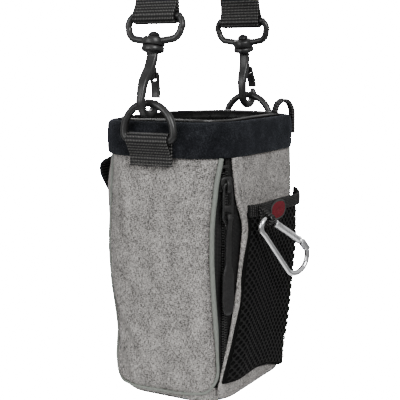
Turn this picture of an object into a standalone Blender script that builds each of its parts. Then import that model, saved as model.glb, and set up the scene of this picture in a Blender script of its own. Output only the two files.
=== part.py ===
"""Treat pouch hanging in its webbing carry loop.

A soft bucket of grey melange fabric with a velour rim band, a zipped front pocket, a mesh front
pocket with a wire carabiner, and two D-rings held by swivel snap hooks.

Units are metres and +Z is up.  The D-rings lie along X, the zip and the mesh pocket face -Y.
Sizes below are measured from the pouch's base; the empty "hang_point" then moves everything down,
so that the frame's origin is the underside of the carry loop's top, where a hand or a peg holds it.
"""
import math

import bmesh
import bpy
from mathutils import Matrix, Vector

MM = 0.001

# ---- pouch body
BODY_W = 98 * MM            # outside of the walls along X, at the rim
BODY_D = 76 * MM            # outside of the walls along Y, at the rim
CORNER_R = 24 * MM
TAPER = 0.08                # the base is this much smaller than the rim
RIM_Z = 150 * MM
BAND_Z = 132 * MM           # lower edge of the rim band
WALL_TOP = 146.5 * MM
WALL = 1.6 * MM             # fabric and foam
GAP = 0.35 * MM             # between touching pieces
LINING = 0.7 * MM
BASE = 2.0 * MM
BOARD = 1.5 * MM
BAND_T = 1.85 * MM          # velour outside the walls
PIPING_R = 1.3 * MM

# ---- places along the rim's outline, measured from the middle of the front towards +X
FLAT_X = BODY_W / 2 - CORNER_R
FLAT_Y = BODY_D / 2 - CORNER_R
CORNER = CORNER_R * math.pi / 2
AROUND = 4 * (FLAT_X + FLAT_Y + CORNER)
SEAM_FRONT = FLAT_X + CORNER / 2
SEAM_BACK = AROUND / 2 - SEAM_FRONT

# ---- zip, beside the front seam on the -X side
ZIP_S = -38 * MM
ZIP_EDGE_S = -27.4 * MM     # where the front panel begins
TAPE_T = 0.8 * MM
COIL = 1.2 * MM
COIL_APART = 1.0 * MM       # each coil's middle from the zip's middle
ZIP_LOW, ZIP_HIGH = 18 * MM, 129 * MM
SLIDER_Z = 118 * MM         # middle of the slider when the zip is closed
SLIDER_L, SLIDER_W = 8.5 * MM, 6.6 * MM

# ---- mesh pocket
POCKET_S0, POCKET_S1 = -23 * MM, SEAM_FRONT - 2.6 * MM
POCKET_LOW, POCKET_HIGH = 6 * MM, 100 * MM
BINDING_HIGH = 106 * MM
POCKET_STANDOFF = 4.4 * MM  # room behind the pocket's mouth
POCKET_T = 0.8 * MM

# ---- D-rings and their webbing tabs
WEBBING = 25 * MM
WIRE_R = 2.0 * MM
RING_HALF = 14.8 * MM       # middle of the bar to the middle of a leg
RING_LEG = 4.0 * MM
RING_X = 55.0 * MM
BAR_Z = 141 * MM
RING_TOP_Z = BAR_Z + RING_LEG + RING_HALF
TAB_T = 1.2 * MM
TAB_LOW = 127.5 * MM

# ---- snap hooks and swivel eyes: sizes from the ring's wire, up the hook's own axis
HOOK_LEAN = math.radians(11)
THROAT_R = 5.0 * MM
THROAT_UP = 1.0 * MM        # the throat's centre above the ring's wire at rest
HOOK_T = 3.8 * MM
FLANGE_LOW, FLANGE_HIGH = 26.0 * MM, 28.8 * MM
FLANGE_R = 5.9 * MM
POST_R = 2.0 * MM
BOSS_LOW, BOSS_HIGH = 29.15 * MM, 33.6 * MM
BOSS_R, BORE_R = 5.9 * MM, 2.35 * MM
EYE_LOW, EYE_HIGH = 31.6 * MM, 44.0 * MM
EYE_HALF = 16.2 * MM
EYE_BAR = 13.0 * MM         # half of the straight top bar that the webbing goes round
EYE_WIRE_R = 1.9 * MM
PIVOT = (3.6 * MM, 14.6 * MM)
PIN_R, PIN_HOLE_R = 0.7 * MM, 1.0 * MM
GATE_W = 4.8 * MM

# ---- carry loop
STRAP_T = 1.6 * MM
STRAP_DOUBLE = 18 * MM      # length sewn double above each eye

# ---- carabiner
CARABINER_WIRE_R = 1.5 * MM
CARABINER_SMALL_R = 4.6 * MM
CARABINER_BIG_R = 9.2 * MM
CARABINER_L = 28 * MM       # between the centres of its two ends
CARABINER_TILT = math.radians(48)
CARABINER_YAW = math.radians(20)
CARABINER_AT = (-16.0 * MM, -48.2 * MM, 94.0 * MM)   # centre of the small end
GATE_R = 2.2 * MM


# ------------------------------------------------------------------ scene helpers
def clear_scene():
    for old in list(bpy.data.objects):
        bpy.data.objects.remove(old, do_unlink=True)


def material(name, colour, roughness, metallic=0.0):
    mat = bpy.data.materials.new(name)
    mat.use_nodes = True
    shader = mat.node_tree.nodes["Principled BSDF"]
    shader.inputs["Base Color"].default_value = (*colour, 1.0)
    shader.inputs["Roughness"].default_value = roughness
    shader.inputs["Metallic"].default_value = metallic
    mat.diffuse_color = (*colour, 1.0)
    return mat


def add(name, bm, mat, parent, matrix=None):
    """Turn a bmesh into a named object under its parent."""
    bmesh.ops.recalc_face_normals(bm, faces=bm.faces)
    mesh = bpy.data.meshes.new(name)
    bm.to_mesh(mesh)
    bm.free()
    mesh.materials.append(mat)
    obj = bpy.data.objects.new(name, mesh)
    bpy.context.collection.objects.link(obj)
    obj.parent = parent
    if matrix is not None:
        obj.matrix_basis = matrix
    mesh.shade_smooth()
    mesh.set_sharp_from_angle(angle=math.radians(35))
    return obj


def boolean(obj, other, operation):
    """Join another object to this one, or cut it away, and drop the other."""
    bpy.context.view_layer.update()
    step = obj.modifiers.new(operation.lower(), "BOOLEAN")
    step.operation = operation
    step.object = other
    step.solver = "EXACT"
    graph = bpy.context.evaluated_depsgraph_get()
    result = bpy.data.meshes.new_from_object(obj.evaluated_get(graph))
    obj.modifiers.clear()
    obj.data = result
    bpy.data.objects.remove(other, do_unlink=True)


# ------------------------------------------------------------------ outline of the pouch
def outline(s):
    """Point and outward normal of the rim's outline at the length s from the front's middle."""
    s = (s + AROUND / 2) % AROUND - AROUND / 2
    side = 1 if s >= 0 else -1
    s = abs(s)
    if s <= FLAT_X:
        x, y, turn = s, -BODY_D / 2, -math.pi / 2
    elif s <= FLAT_X + CORNER:
        turn = (s - FLAT_X) / CORNER_R - math.pi / 2
        x = FLAT_X + CORNER_R * math.cos(turn)
        y = -FLAT_Y + CORNER_R * math.sin(turn)
    elif s <= FLAT_X + CORNER + 2 * FLAT_Y:
        x, y, turn = BODY_W / 2, s - FLAT_X - CORNER - FLAT_Y, 0.0
    elif s <= FLAT_X + 2 * CORNER + 2 * FLAT_Y:
        turn = (s - FLAT_X - CORNER - 2 * FLAT_Y) / CORNER_R
        x = FLAT_X + CORNER_R * math.cos(turn)
        y = FLAT_Y + CORNER_R * math.sin(turn)
    else:
        x, y, turn = AROUND / 2 - s, BODY_D / 2, math.pi / 2
    normal = Vector((math.cos(turn) * side, math.sin(turn), 0))
    return Vector((x * side, y, 0)), normal


def shrink(z):
    """Size of the section at the height z, with 1 at the rim band."""
    return 1 - TAPER * max(0.0, (BAND_Z - z) / BAND_Z)


def wall(s, z, out):
    """Point on the pouch's wall, moved outwards by out."""
    point, normal = outline(s)
    return point * shrink(z) + normal * out + Vector((0, 0, z))


def places(s0, s1, corner_steps=5):
    """Places from s0 to s1, with a few on each corner and none on the flats between them."""
    marks = []
    for start in (FLAT_X, FLAT_X + CORNER + 2 * FLAT_Y):
        for i in range(corner_steps + 1):
            s = start + CORNER * i / corner_steps
            marks += [s, -s, AROUND - s]
    inside = sorted(m for m in set(marks) if s0 + 0.5 * MM < m < s1 - 0.5 * MM)
    return [s0, *inside, s1]


def loop_places(corner_steps=5):
    return places(-AROUND / 2, AROUND / 2, corner_steps)[:-1]


# ------------------------------------------------------------------ shape helpers
def grid_solid(rows, closed_rows=False):
    """Closed solid from rings of points; each row is one ring around the solid's section."""
    bm = bmesh.new()
    verts = [[bm.verts.new(p) for p in row] for row in rows]
    count = len(verts)
    for i in range(count if closed_rows else count - 1):
        a, b = verts[i], verts[(i + 1) % count]
        for j in range(len(a)):
            k = (j + 1) % len(a)
            bm.faces.new((a[j], a[k], b[k], b[j]))
    if not closed_rows:
        bm.faces.new(verts[0])
        bm.faces.new(verts[-1])
    return bm


def sheet(s_list, z_list, inner, outer):
    """Thin curved solid; inner and outer give the distance from the wall at (s, z)."""
    rows = []
    for s in s_list:
        up = [wall(s, z, outer(s, z)) for z in z_list]
        down = [wall(s, z, inner(s, z)) for z in reversed(z_list)]
        rows.append(up + down)
    bm = bmesh.new()
    verts = [[bm.verts.new(p) for p in row] for row in rows]
    n = len(z_list)
    for a, b in zip(verts, verts[1:]):
        for j in range(2 * n):
            k = (j + 1) % (2 * n)
            bm.faces.new((a[j], a[k], b[k], b[j]))
    for end in (verts[0], verts[-1]):
        for j in range(n - 1):
            bm.faces.new((end[j], end[j + 1], end[2 * n - 2 - j], end[2 * n - 1 - j]))
    return bm


def even(value):
    return lambda s, z: value


def wall_ring(section, corner_steps=5):
    """Ring around the pouch with a section of (out, z) points."""
    rows = [[wall(s, z, out) for out, z in section] for s in loop_places(corner_steps)]
    return grid_solid(rows, closed_rows=True)


def plate(z0, z1, out0, out1, corner_steps=5):
    """Flat plate with the pouch's outline, out0 at its lower and out1 at its upper face."""
    rows = [[wall(s, z, out) for s in loop_places(corner_steps)] for z, out in ((z0, out0), (z1, out1))]
    return grid_solid(rows)


def sides_of(path, closed=False):
    """Unit direction along a path at each point."""
    result = []
    n = len(path)
    for i in range(n):
        before = path[i - 1] if closed or i else path[i]
        after = path[(i + 1) % n] if closed or i < n - 1 else path[i]
        result.append((after - before).normalized())
    return result


def tube(path, radius, sides=8, closed=False, flat=Vector((0, 0, 1))):
    """Round wire along a path; flat is any direction that the path never runs along."""
    rows = []
    for point, along in zip(path, sides_of(path, closed)):
        u = along.cross(flat).normalized()
        v = along.cross(u)
        turns = [2 * math.pi * (i + 0.5) / sides for i in range(sides)]
        rows.append([point + (u * math.cos(t) + v * math.sin(t)) * radius for t in turns])
    return grid_solid(rows, closed_rows=closed)


def bar(path, widths, thick, across):
    """Flat bar with chamfered edges along a path; widths run along the direction across."""
    rows = []
    for point, along, width in zip(path, sides_of(path), widths):
        out = along.cross(across).normalized()
        w, t = width / 2, thick / 2
        c = 0.3 * t
        shape = [(w, t - c), (w - c, t), (-w + c, t), (-w, t - c),
                 (-w, -t + c), (-w + c, -t), (w - c, -t), (w, -t + c)]
        rows.append([point + across * a + out * b for a, b in shape])
    return grid_solid(rows)


def strip(path, thick, width, across, middle=Vector()):
    """Webbing of one thickness along a flat path, width wide along across, moved by middle."""
    rows = []
    dirs = sides_of(path)
    for i, (point, along) in enumerate(zip(path, dirs)):
        out = along.cross(across).normalized()
        stretch = 1.0
        if 0 < i < len(path) - 1:
            turn = (path[i + 1] - path[i]).angle(path[i] - path[i - 1])
            stretch = 1 / math.cos(turn / 2)
        half = out * thick / 2 * stretch
        side = across * width / 2
        centre = point + middle
        rows.append([centre + u + v for u, v in ((side, half), (-side, half), (-side, -half), (side, -half))])
    return grid_solid(rows)


def turned(profile, steps=20):
    """Solid of revolution about Z from (radius, z) points, running up the outside."""
    bm = bmesh.new()
    rings = []
    for radius, z in profile:
        if radius == 0:
            rings.append([bm.verts.new((0, 0, z))])
        else:
            turns = [2 * math.pi * i / steps for i in range(steps)]
            rings.append([bm.verts.new((radius * math.cos(t), radius * math.sin(t), z)) for t in turns])
    closed = profile[0][0] != 0
    pairs = list(zip(rings, rings[1:])) + ([(rings[-1], rings[0])] if closed else [])
    for a, b in pairs:
        for i in range(steps):
            k = (i + 1) % steps
            if len(a) == 1:
                bm.faces.new((a[0], b[k], b[i]))
            elif len(b) == 1:
                bm.faces.new((a[i], a[k], b[0]))
            else:
                bm.faces.new((a[i], a[k], b[k], b[i]))
    return bm


def box(low, high):
    bm = bmesh.new()
    bmesh.ops.create_cube(bm, size=1.0)
    size = Vector(high) - Vector(low)
    middle = (Vector(high) + Vector(low)) / 2
    for v in bm.verts:
        v.co = Vector(c * s for c, s in zip(v.co, size)) + middle
    return bm


def rod_y(x, z, radius, y0, y1, steps=12):
    """Cylinder along Y."""
    bm = bmesh.new()
    rows = []
    for y in (y0, y1):
        turns = [2 * math.pi * i / steps for i in range(steps)]
        rows.append([bm.verts.new((x + radius * math.cos(t), y, z + radius * math.sin(t))) for t in turns])
    for i in range(steps):
        k = (i + 1) % steps
        bm.faces.new((rows[0][i], rows[0][k], rows[1][k], rows[1][i]))
    bm.faces.new(rows[0])
    bm.faces.new(rows[1])
    return bm


def arc(centre, radius, start, end, steps):
    """Points (a, b) on an arc, angles in degrees."""
    turns = [math.radians(start + (end - start) * i / steps) for i in range(steps + 1)]
    return [(centre[0] + radius * math.cos(t), centre[1] + radius * math.sin(t)) for t in turns]


def smooth_path(points, per=4):
    """Catmull-Rom curve through the points."""
    pts = [Vector(p) for p in points]
    full = [2 * pts[0] - pts[1], *pts, 2 * pts[-1] - pts[-2]]
    result = []
    for a, b, c, d in zip(full, full[1:], full[2:], full[3:]):
        for i in range(per):
            t = i / per
            result.append(0.5 * (2 * b + (c - a) * t + (2 * a - 5 * b + 4 * c - d) * t * t
                                 + (3 * b - a - 3 * c + d) * t ** 3))
    return [*result, pts[-1]]


# ------------------------------------------------------------------ pouch body
def make_body(mats, root):
    fabric, lining, velour, trim = mats["melange"], mats["lining"], mats["velour"], mats["piping"]
    low = BASE + GAP
    half = GAP / 2

    def panel(name, s0, s1):
        bm = sheet(places(s0 + half, s1 - half), [low, BAND_Z, WALL_TOP], even(-WALL), even(0))
        add(name, bm, fabric, root)

    panel("front_panel", ZIP_EDGE_S, SEAM_FRONT)
    panel("side_panel_right", SEAM_FRONT, SEAM_BACK)
    panel("back_panel", SEAM_BACK, AROUND - SEAM_BACK)
    panel("side_panel_left", -SEAM_BACK, -SEAM_FRONT)

    add("base_panel", plate(0, BASE, -1.4 * MM, -0.6 * MM), fabric, root)
    inside = -(WALL + GAP)
    add("base_board", plate(low, low + BOARD, inside, inside), mats["plastic"], root)

    floor = low + BOARD + GAP
    cup = [(z, out) for z, out in ((floor, inside), (BAND_Z, inside), (WALL_TOP, inside),
                                   (WALL_TOP, inside - LINING), (BAND_Z, inside - LINING),
                                   (floor + LINING, inside - LINING))]
    rows = [[wall(s, z, out) for s in loop_places()] for z, out in cup]
    add("lining", grid_solid(rows), lining, root)

    deep = inside - LINING - 0.3 * MM
    band = [(BAND_T + GAP, BAND_Z), (BAND_T + GAP, RIM_Z - 1.5 * MM), (1.0 * MM, RIM_Z),
            (deep + 0.2 * MM, RIM_Z), (deep - 0.9 * MM, RIM_Z - 1.0 * MM), (deep - 0.9 * MM, 138 * MM),
            (deep, 138 * MM), (deep, WALL_TOP + GAP), (GAP, WALL_TOP + GAP), (GAP, BAND_Z)]
    add("rim_band", wall_ring(band), velour, root)
    bead_out = deep - 1.2 * MM
    bead = [(bead_out, 145 * MM), (bead_out, RIM_Z + 0.6 * MM), (bead_out - 1.1 * MM, RIM_Z + 0.6 * MM),
            (bead_out - 1.1 * MM, 145 * MM)]
    add("rim_bead", wall_ring(bead, 4), lining, root)

    for side, name in ((-1, "piping_left"), (1, "piping_right")):
        add(name, tube(piping_path(side), PIPING_R, 6, flat=Vector((side, 0.02, 0.01))), trim, root)


def piping_path(side):
    """U of piping: down the front seam, along the foot of the side panel and up the back seam."""
    out = PIPING_R + GAP
    top = BAND_Z - PIPING_R - GAP
    foot, turn_high, turn_wide = 7 * MM, 13 * MM, 9 * MM
    heights = [top, 90 * MM, 50 * MM, 22 * MM]
    quarter = [math.pi / 2 * i / 4 for i in range(1, 5)]
    bend = [(turn_wide * (1 - math.cos(t)), foot + turn_high * (1 - math.sin(t))) for t in quarter]
    points = [wall(side * SEAM_FRONT, z, out) for z in heights]
    points += [wall(side * (SEAM_FRONT + inward), z, out) for inward, z in bend]
    along = places(SEAM_FRONT + turn_wide, SEAM_BACK - turn_wide, 5)[1:-1]
    points += [wall(side * s, foot, out) for s in along]
    points += [wall(side * (SEAM_BACK - inward), z, out) for inward, z in reversed(bend)]
    points += [wall(side * SEAM_BACK, z, out) for z in reversed(heights)]
    return points


# ------------------------------------------------------------------ zip
def zip_frame(z):
    """Matrix at the zip's line: X across it, Y into the pouch and Z up along it."""
    low, high = wall(ZIP_S, ZIP_LOW, 0), wall(ZIP_S, ZIP_HIGH, 0)
    up = (high - low).normalized()
    normal = outline(ZIP_S)[1]
    across = up.cross(normal).normalized()
    into = up.cross(across)
    at = low + (high - low) * ((z - ZIP_LOW) / (ZIP_HIGH - ZIP_LOW))
    return Matrix.Translation(at) @ Matrix((across, into, up)).transposed().to_4x4()


def make_zip(mats, root):
    cloth, plastic = mats["webbing"], mats["plastic"]
    half = GAP / 2
    tapes = (("zip_tape_left", -SEAM_FRONT + half, ZIP_S - COIL_APART + 0.4 * MM),
             ("zip_tape_right", ZIP_S + COIL_APART - 0.4 * MM, ZIP_EDGE_S - half))
    for name, s0, s1 in tapes:
        bm = sheet(places(s0, s1), [BASE + GAP, BAND_Z, WALL_TOP], even(-WALL), even(-WALL + TAPE_T))
        add(name, bm, cloth, root)
    out = -WALL + TAPE_T + GAP
    for side, name in ((-1, "zip_coil_left"), (1, "zip_coil_right")):
        x = side * COIL_APART
        bm = box((x - 0.3 * COIL, -out - COIL, 0), (x + 0.3 * COIL, -out, ZIP_HIGH - ZIP_LOW - 8 * MM))
        add(name, bm, plastic, root, zip_frame(ZIP_LOW + 3 * MM))
    for name, z in (("zip_stop_bottom", ZIP_LOW - 1 * MM), ("zip_stop_top", ZIP_HIGH - 2.6 * MM)):
        add(name, box((-2.2 * MM, -out - COIL, 0), (2.2 * MM, -out, 1.8 * MM)), plastic, root, zip_frame(z))
    welt = sheet(places(ZIP_EDGE_S - 1.2 * MM, ZIP_EDGE_S + 2.2 * MM), [BASE + GAP + 4 * MM, BAND_Z - GAP],
                 even(GAP), even(GAP + 1.0 * MM))
    add("zip_welt", welt, mats["melange"], root)
    make_slider(plastic, root, out)


def make_slider(plastic, root, out):
    """Slider over both coils, its tab, and the puller that hangs on the tab."""
    frame = zip_frame(SLIDER_Z)
    top = -out - COIL - GAP
    half_l, half_w = SLIDER_L / 2, SLIDER_W / 2
    plate_box = box((-half_w, top - 1.3 * MM, -half_l), (half_w, top, half_l))
    slider = add("zip_slider", plate_box, plastic, root, frame)
    for side in (-1, 1):
        x0, x1 = sorted((side * (half_w - 0.8 * MM), side * half_w))
        flange = box((x0, top - 0.4 * MM, -half_l + 0.4 * MM), (x1, -out - 0.2 * MM, half_l - 0.4 * MM))
        boolean(slider, add("flange", flange, plastic, root, frame), "UNION")
    arch = [Vector((0, y, z)) for y, z in ((top - 0.6 * MM, 2.6 * MM), (top - 2.9 * MM, 2.2 * MM),
                                           (top - 3.6 * MM, 0.6 * MM), (top - 3.6 * MM, -1.4 * MM),
                                           (top - 2.9 * MM, -2.8 * MM), (top - 0.6 * MM, -3.2 * MM))]
    bridge = bar(arch, [2.0 * MM] * len(arch), 0.9 * MM, Vector((1, 0, 0)))
    boolean(slider, add("bridge", bridge, plastic, root, frame), "UNION")

    tab_y = top - 2.1 * MM
    rim = [Vector((x, tab_y, z)) for x, z in
           [*arc((0, -1.3 * MM), 2.4 * MM, 150, 30, 4), (2.5 * MM, -12.5 * MM),
            *arc((0, -16.5 * MM), 2.6 * MM, 20, -200, 9), (-2.5 * MM, -12.5 * MM)]]
    tab = add("zip_tab", tube(rim, 0.6 * MM, 6, closed=True, flat=Vector((0, 1, 0))), plastic, root, frame)
    crossbar = box((-2.6 * MM, tab_y - 0.5 * MM, -13.2 * MM), (2.6 * MM, tab_y + 0.5 * MM, -10.4 * MM))
    boolean(tab, add("crossbar", crossbar, plastic, root, frame), "UNION")

    grip = [Vector((0, y, z)) for y, z in ((tab_y - 1.9 * MM, -14.6 * MM), (tab_y - 2.3 * MM, -17.8 * MM),
                                           (tab_y - 1.6 * MM, -21.5 * MM), (tab_y - 1.0 * MM, -26 * MM),
                                           (tab_y - 0.6 * MM, -42 * MM), (tab_y - 0.6 * MM, -45 * MM),
                                           (tab_y - 0.6 * MM, -62 * MM), (tab_y - 0.6 * MM, -68 * MM))]
    widths = [2.2 * MM, 2.2 * MM, 2.4 * MM, 2.8 * MM, 3.2 * MM, 6.2 * MM, 6.8 * MM, 5.6 * MM]
    puller = add("zip_puller", bar(grip, widths, 1.7 * MM, Vector((1, 0, 0))), plastic, root, frame)
    back = [Vector((0, y, z)) for y, z in ((tab_y - 1.9 * MM, -14.9 * MM), (tab_y + 0.6 * MM, -15.2 * MM),
                                           (tab_y + 1.3 * MM, -17 * MM), (tab_y + 1.1 * MM, -20.5 * MM),
                                           (tab_y - 1.0 * MM, -23.2 * MM))]
    loop = bar(back, [2.0 * MM] * len(back), 0.9 * MM, Vector((1, 0, 0)))
    boolean(puller, add("loop", loop, plastic, root, frame), "UNION")


# ------------------------------------------------------------------ mesh pocket
def stand_off(s, z):
    """How far the pocket's inner face stands from the wall: nothing at its seams, most at its mouth."""
    middle = (POCKET_S0 + POCKET_S1) / 2
    across = min(1.0, 3.2 * (1 - abs(s - middle) / ((POCKET_S1 - POCKET_S0) / 2)))
    up = min(1.0, max(0.0, (z - POCKET_LOW) / (70 * MM)))
    return GAP + POCKET_STANDOFF * across * math.sin(up * math.pi / 2)


def make_pocket(mats, root):
    edges = places(POCKET_S0, POCKET_S1)
    extra = [POCKET_S0 + 5 * MM, POCKET_S0 + 10 * MM, POCKET_S1 - 10 * MM]
    across = sorted({*edges, *extra})
    heights = [POCKET_LOW + (POCKET_HIGH - GAP - POCKET_LOW) * i / 6 for i in range(7)]

    def outside(thickness):
        return lambda s, z: stand_off(s, z) + thickness

    add("mesh_pocket", sheet(across, heights, stand_off, outside(POCKET_T)), mats["mesh"], root)
    binding = sheet(across, [POCKET_HIGH, BINDING_HIGH], stand_off, outside(2 * POCKET_T))
    add("pocket_binding", binding, mats["webbing"], root)

    out = POCKET_STANDOFF + GAP + 2 * POCKET_T + GAP
    patch = sheet([-3.5 * MM, 5.75 * MM, 15 * MM], [BINDING_HIGH - 11 * MM, BINDING_HIGH - 1 * MM],
                  even(out), even(out + 0.6 * MM))
    add("label_patch", patch, mats["label"], root)

    y = -BODY_D / 2 * shrink(POCKET_HIGH) - out
    x, _, z = CARABINER_AT
    wire_y, wire_z = CARABINER_AT[1], z + CARABINER_SMALL_R
    r = CARABINER_WIRE_R + 1.8 * MM
    path = [(y - 0.35 * MM, BINDING_HIGH - 1.0 * MM), (y - 0.35 * MM, wire_z + r + 1.0 * MM),
            *arc((wire_y, wire_z), r, 30, -200, 10),
            (y - 1.45 * MM, wire_z + r + 1.6 * MM), (y - 1.45 * MM, BINDING_HIGH - 1.0 * MM)]
    ribbon = strip([Vector((x, a, b)) for a, b in path], 0.7 * MM, 3.5 * MM, Vector((1, 0, 0)))
    add("ribbon_loop", ribbon, mats["webbing"], root)


# ------------------------------------------------------------------ carabiner
def carabiner_frame():
    """Matrix with the small end's centre at the origin, Z towards the small end, Y across the plane."""
    yaw = Matrix.Rotation(-CARABINER_YAW, 4, "Z")
    tilt = Matrix.Rotation(-CARABINER_TILT, 4, "Y")
    return Matrix.Translation(CARABINER_AT) @ yaw @ tilt


def make_carabiner(mats, root):
    steel = mats["chrome"]
    frame = carabiner_frame()
    small, big, length = CARABINER_SMALL_R, CARABINER_BIG_R, CARABINER_L
    lean = math.degrees(math.asin((big - small) / length))
    ends = arc((0, 0), small, -lean - 5, 180 + lean, 12)
    foot = arc((0, -length), big, 180 + lean, 360 - lean - 14, 14)
    path = [Vector((x, 0, z)) for x, z in [*ends, *foot]]
    add("carabiner_body", tube(path, CARABINER_WIRE_R, 8, flat=Vector((0, 1, 0))), steel, root, frame)

    high, low = gate_ends()
    along = (high - low).normalized()
    sleeve = [low + along * 2.2 * MM, high]
    gate = add("carabiner_gate", tube(sleeve, GATE_R, 12, flat=Vector((0, 1, 0))), steel, root, frame)
    lug = rod_y(low.x, low.z, 1.9 * MM, -1.3 * MM, 1.3 * MM, 14)
    boolean(gate, add("lug", lug, steel, root, frame), "UNION")
    neck = tube([low + along * 1.2 * MM, low + along * 3.0 * MM], 1.2 * MM, 10, flat=Vector((0, 1, 0)))
    boolean(gate, add("neck", neck, steel, root, frame), "UNION")
    hole = rod_y(low.x, low.z, 1.0 * MM, -4 * MM, 4 * MM)
    boolean(gate, add("hole", hole, steel, root, frame), "DIFFERENCE")
    add("carabiner_pin", rod_y(low.x, low.z, 0.65 * MM, -1.9 * MM, 1.9 * MM), steel, root, frame)


def gate_ends():
    """Ends of the gate in the carabiner's own frame: the nose above and the pin below."""
    small, big = CARABINER_SMALL_R, CARABINER_BIG_R
    lean = math.asin((big - small) / CARABINER_L)
    high = Vector((small * math.cos(lean - 0.1), 0, -small * math.sin(lean) - 2 * MM))
    low = Vector((big * math.cos(lean), 0, -CARABINER_L - big * math.sin(lean) + 2.4 * MM))
    return high, low


# ------------------------------------------------------------------ webbing loops on the pouch
def make_loops(mats, root):
    web = mats["webbing"]
    for side, name in ((-1, "ring_tab_left"), (1, "ring_tab_right")):
        inner = BODY_W / 2 + BAND_T + 2 * GAP + TAB_T / 2
        wrap = RING_X - inner
        path = [(inner, TAB_LOW), (inner, BAR_Z), *arc((RING_X, BAR_Z), wrap, 165, -25, 9),
                (inner + TAB_T + 0.3 * MM, BAR_Z - 7.5 * MM), (inner + TAB_T + 0.3 * MM, TAB_LOW)]
        points = [Vector((side * x, 0, z)) for x, z in path]
        add(name, strip(points, TAB_T, WEBBING, Vector((0, 1, 0))), web, root)

    for side, name in ((-1, "belt_loop_left"), (1, "belt_loop_right")):
        stand = GAP + TAB_T / 2 + 0.1 * MM
        feet = [wall(AROUND / 2, z, stand) for z in (BAND_Z - 1 * MM, BAND_Z - 3 * MM, 106 * MM, 101 * MM)]
        bulge = [(46.2 * MM, 125.0 * MM), (47.2 * MM, 119.5 * MM), (43.0 * MM, 111.5 * MM)]
        line = [*feet[:2], *[Vector((0, y, z)) for y, z in bulge], *feet[2:]]
        path = [line[0], *smooth_path(line[1:-1], 3), line[-1]]
        bm = strip(path, TAB_T, 20 * MM, Vector((1, 0, 0)), Vector((side * 22 * MM, 0, 0)))
        add(name, bm, web, root)

    top = RIM_Z + 9.5 * MM
    outside = BAND_T + 2 * GAP + TAB_T / 2
    inside = -(WALL + LINING + GAP + 3.6 * MM + TAB_T / 2)
    point, normal = outline(SEAM_FRONT - 2 * MM)
    across = Vector((-normal.y, normal.x, 0))
    middle = (outside + inside) / 2
    wide, high = (outside - inside) / 2, top - RIM_Z
    turns = [math.pi * i / 10 for i in range(1, 10)]
    arch = [(middle + wide * math.cos(t), RIM_Z + high * math.sin(t)) for t in turns]
    path = [(outside, 139 * MM), (outside, RIM_Z), *arch, (inside, RIM_Z), (inside, 141 * MM)]
    line = [point + normal * out + Vector((0, 0, z)) for out, z in path]
    add("pull_loop", strip(line, TAB_T, 9 * MM, across), web, root)


# ------------------------------------------------------------------ rings, hooks and carry loop
def hook_frame(side):
    """Matrix at the ring's wire: X away from the pouch's middle on both sides, Z up the hook."""
    lean = Matrix.Rotation(-side * HOOK_LEAN, 4, "Y")
    return Matrix.Translation((side * RING_X, 0, RING_TOP_Z)) @ lean


def make_ring(name, side, mat, root):
    corner = 3 * MM
    points = [*arc((-RING_HALF + corner, corner), corner, 270, 180, 3),
              *arc((0, RING_LEG), RING_HALF, 180, 0, 14),
              *arc((RING_HALF - corner, corner), corner, 0, -90, 3)]
    path = [Vector((side * RING_X, y, BAR_Z + z)) for y, z in points]
    add(name, tube(path, WIRE_R, 8, closed=True, flat=Vector((1, 0, 0))), mat, root)


def hook_spine():
    """Line of the hook in its own frame (x across, z up): the shank, the throat and the tip."""
    r = THROAT_R + HOOK_T / 2
    points = [(0, FLANGE_LOW + 1 * MM), (0, 23 * MM), (-1.6 * MM, 17.5 * MM), (-r + 1.0 * MM, 9.5 * MM),
              *arc((0, THROAT_UP), r, 180, 350, 10), (r + 0.1 * MM, THROAT_UP + 1.4 * MM)]
    return [Vector((x, 0, z)) for x, z in points]


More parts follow.
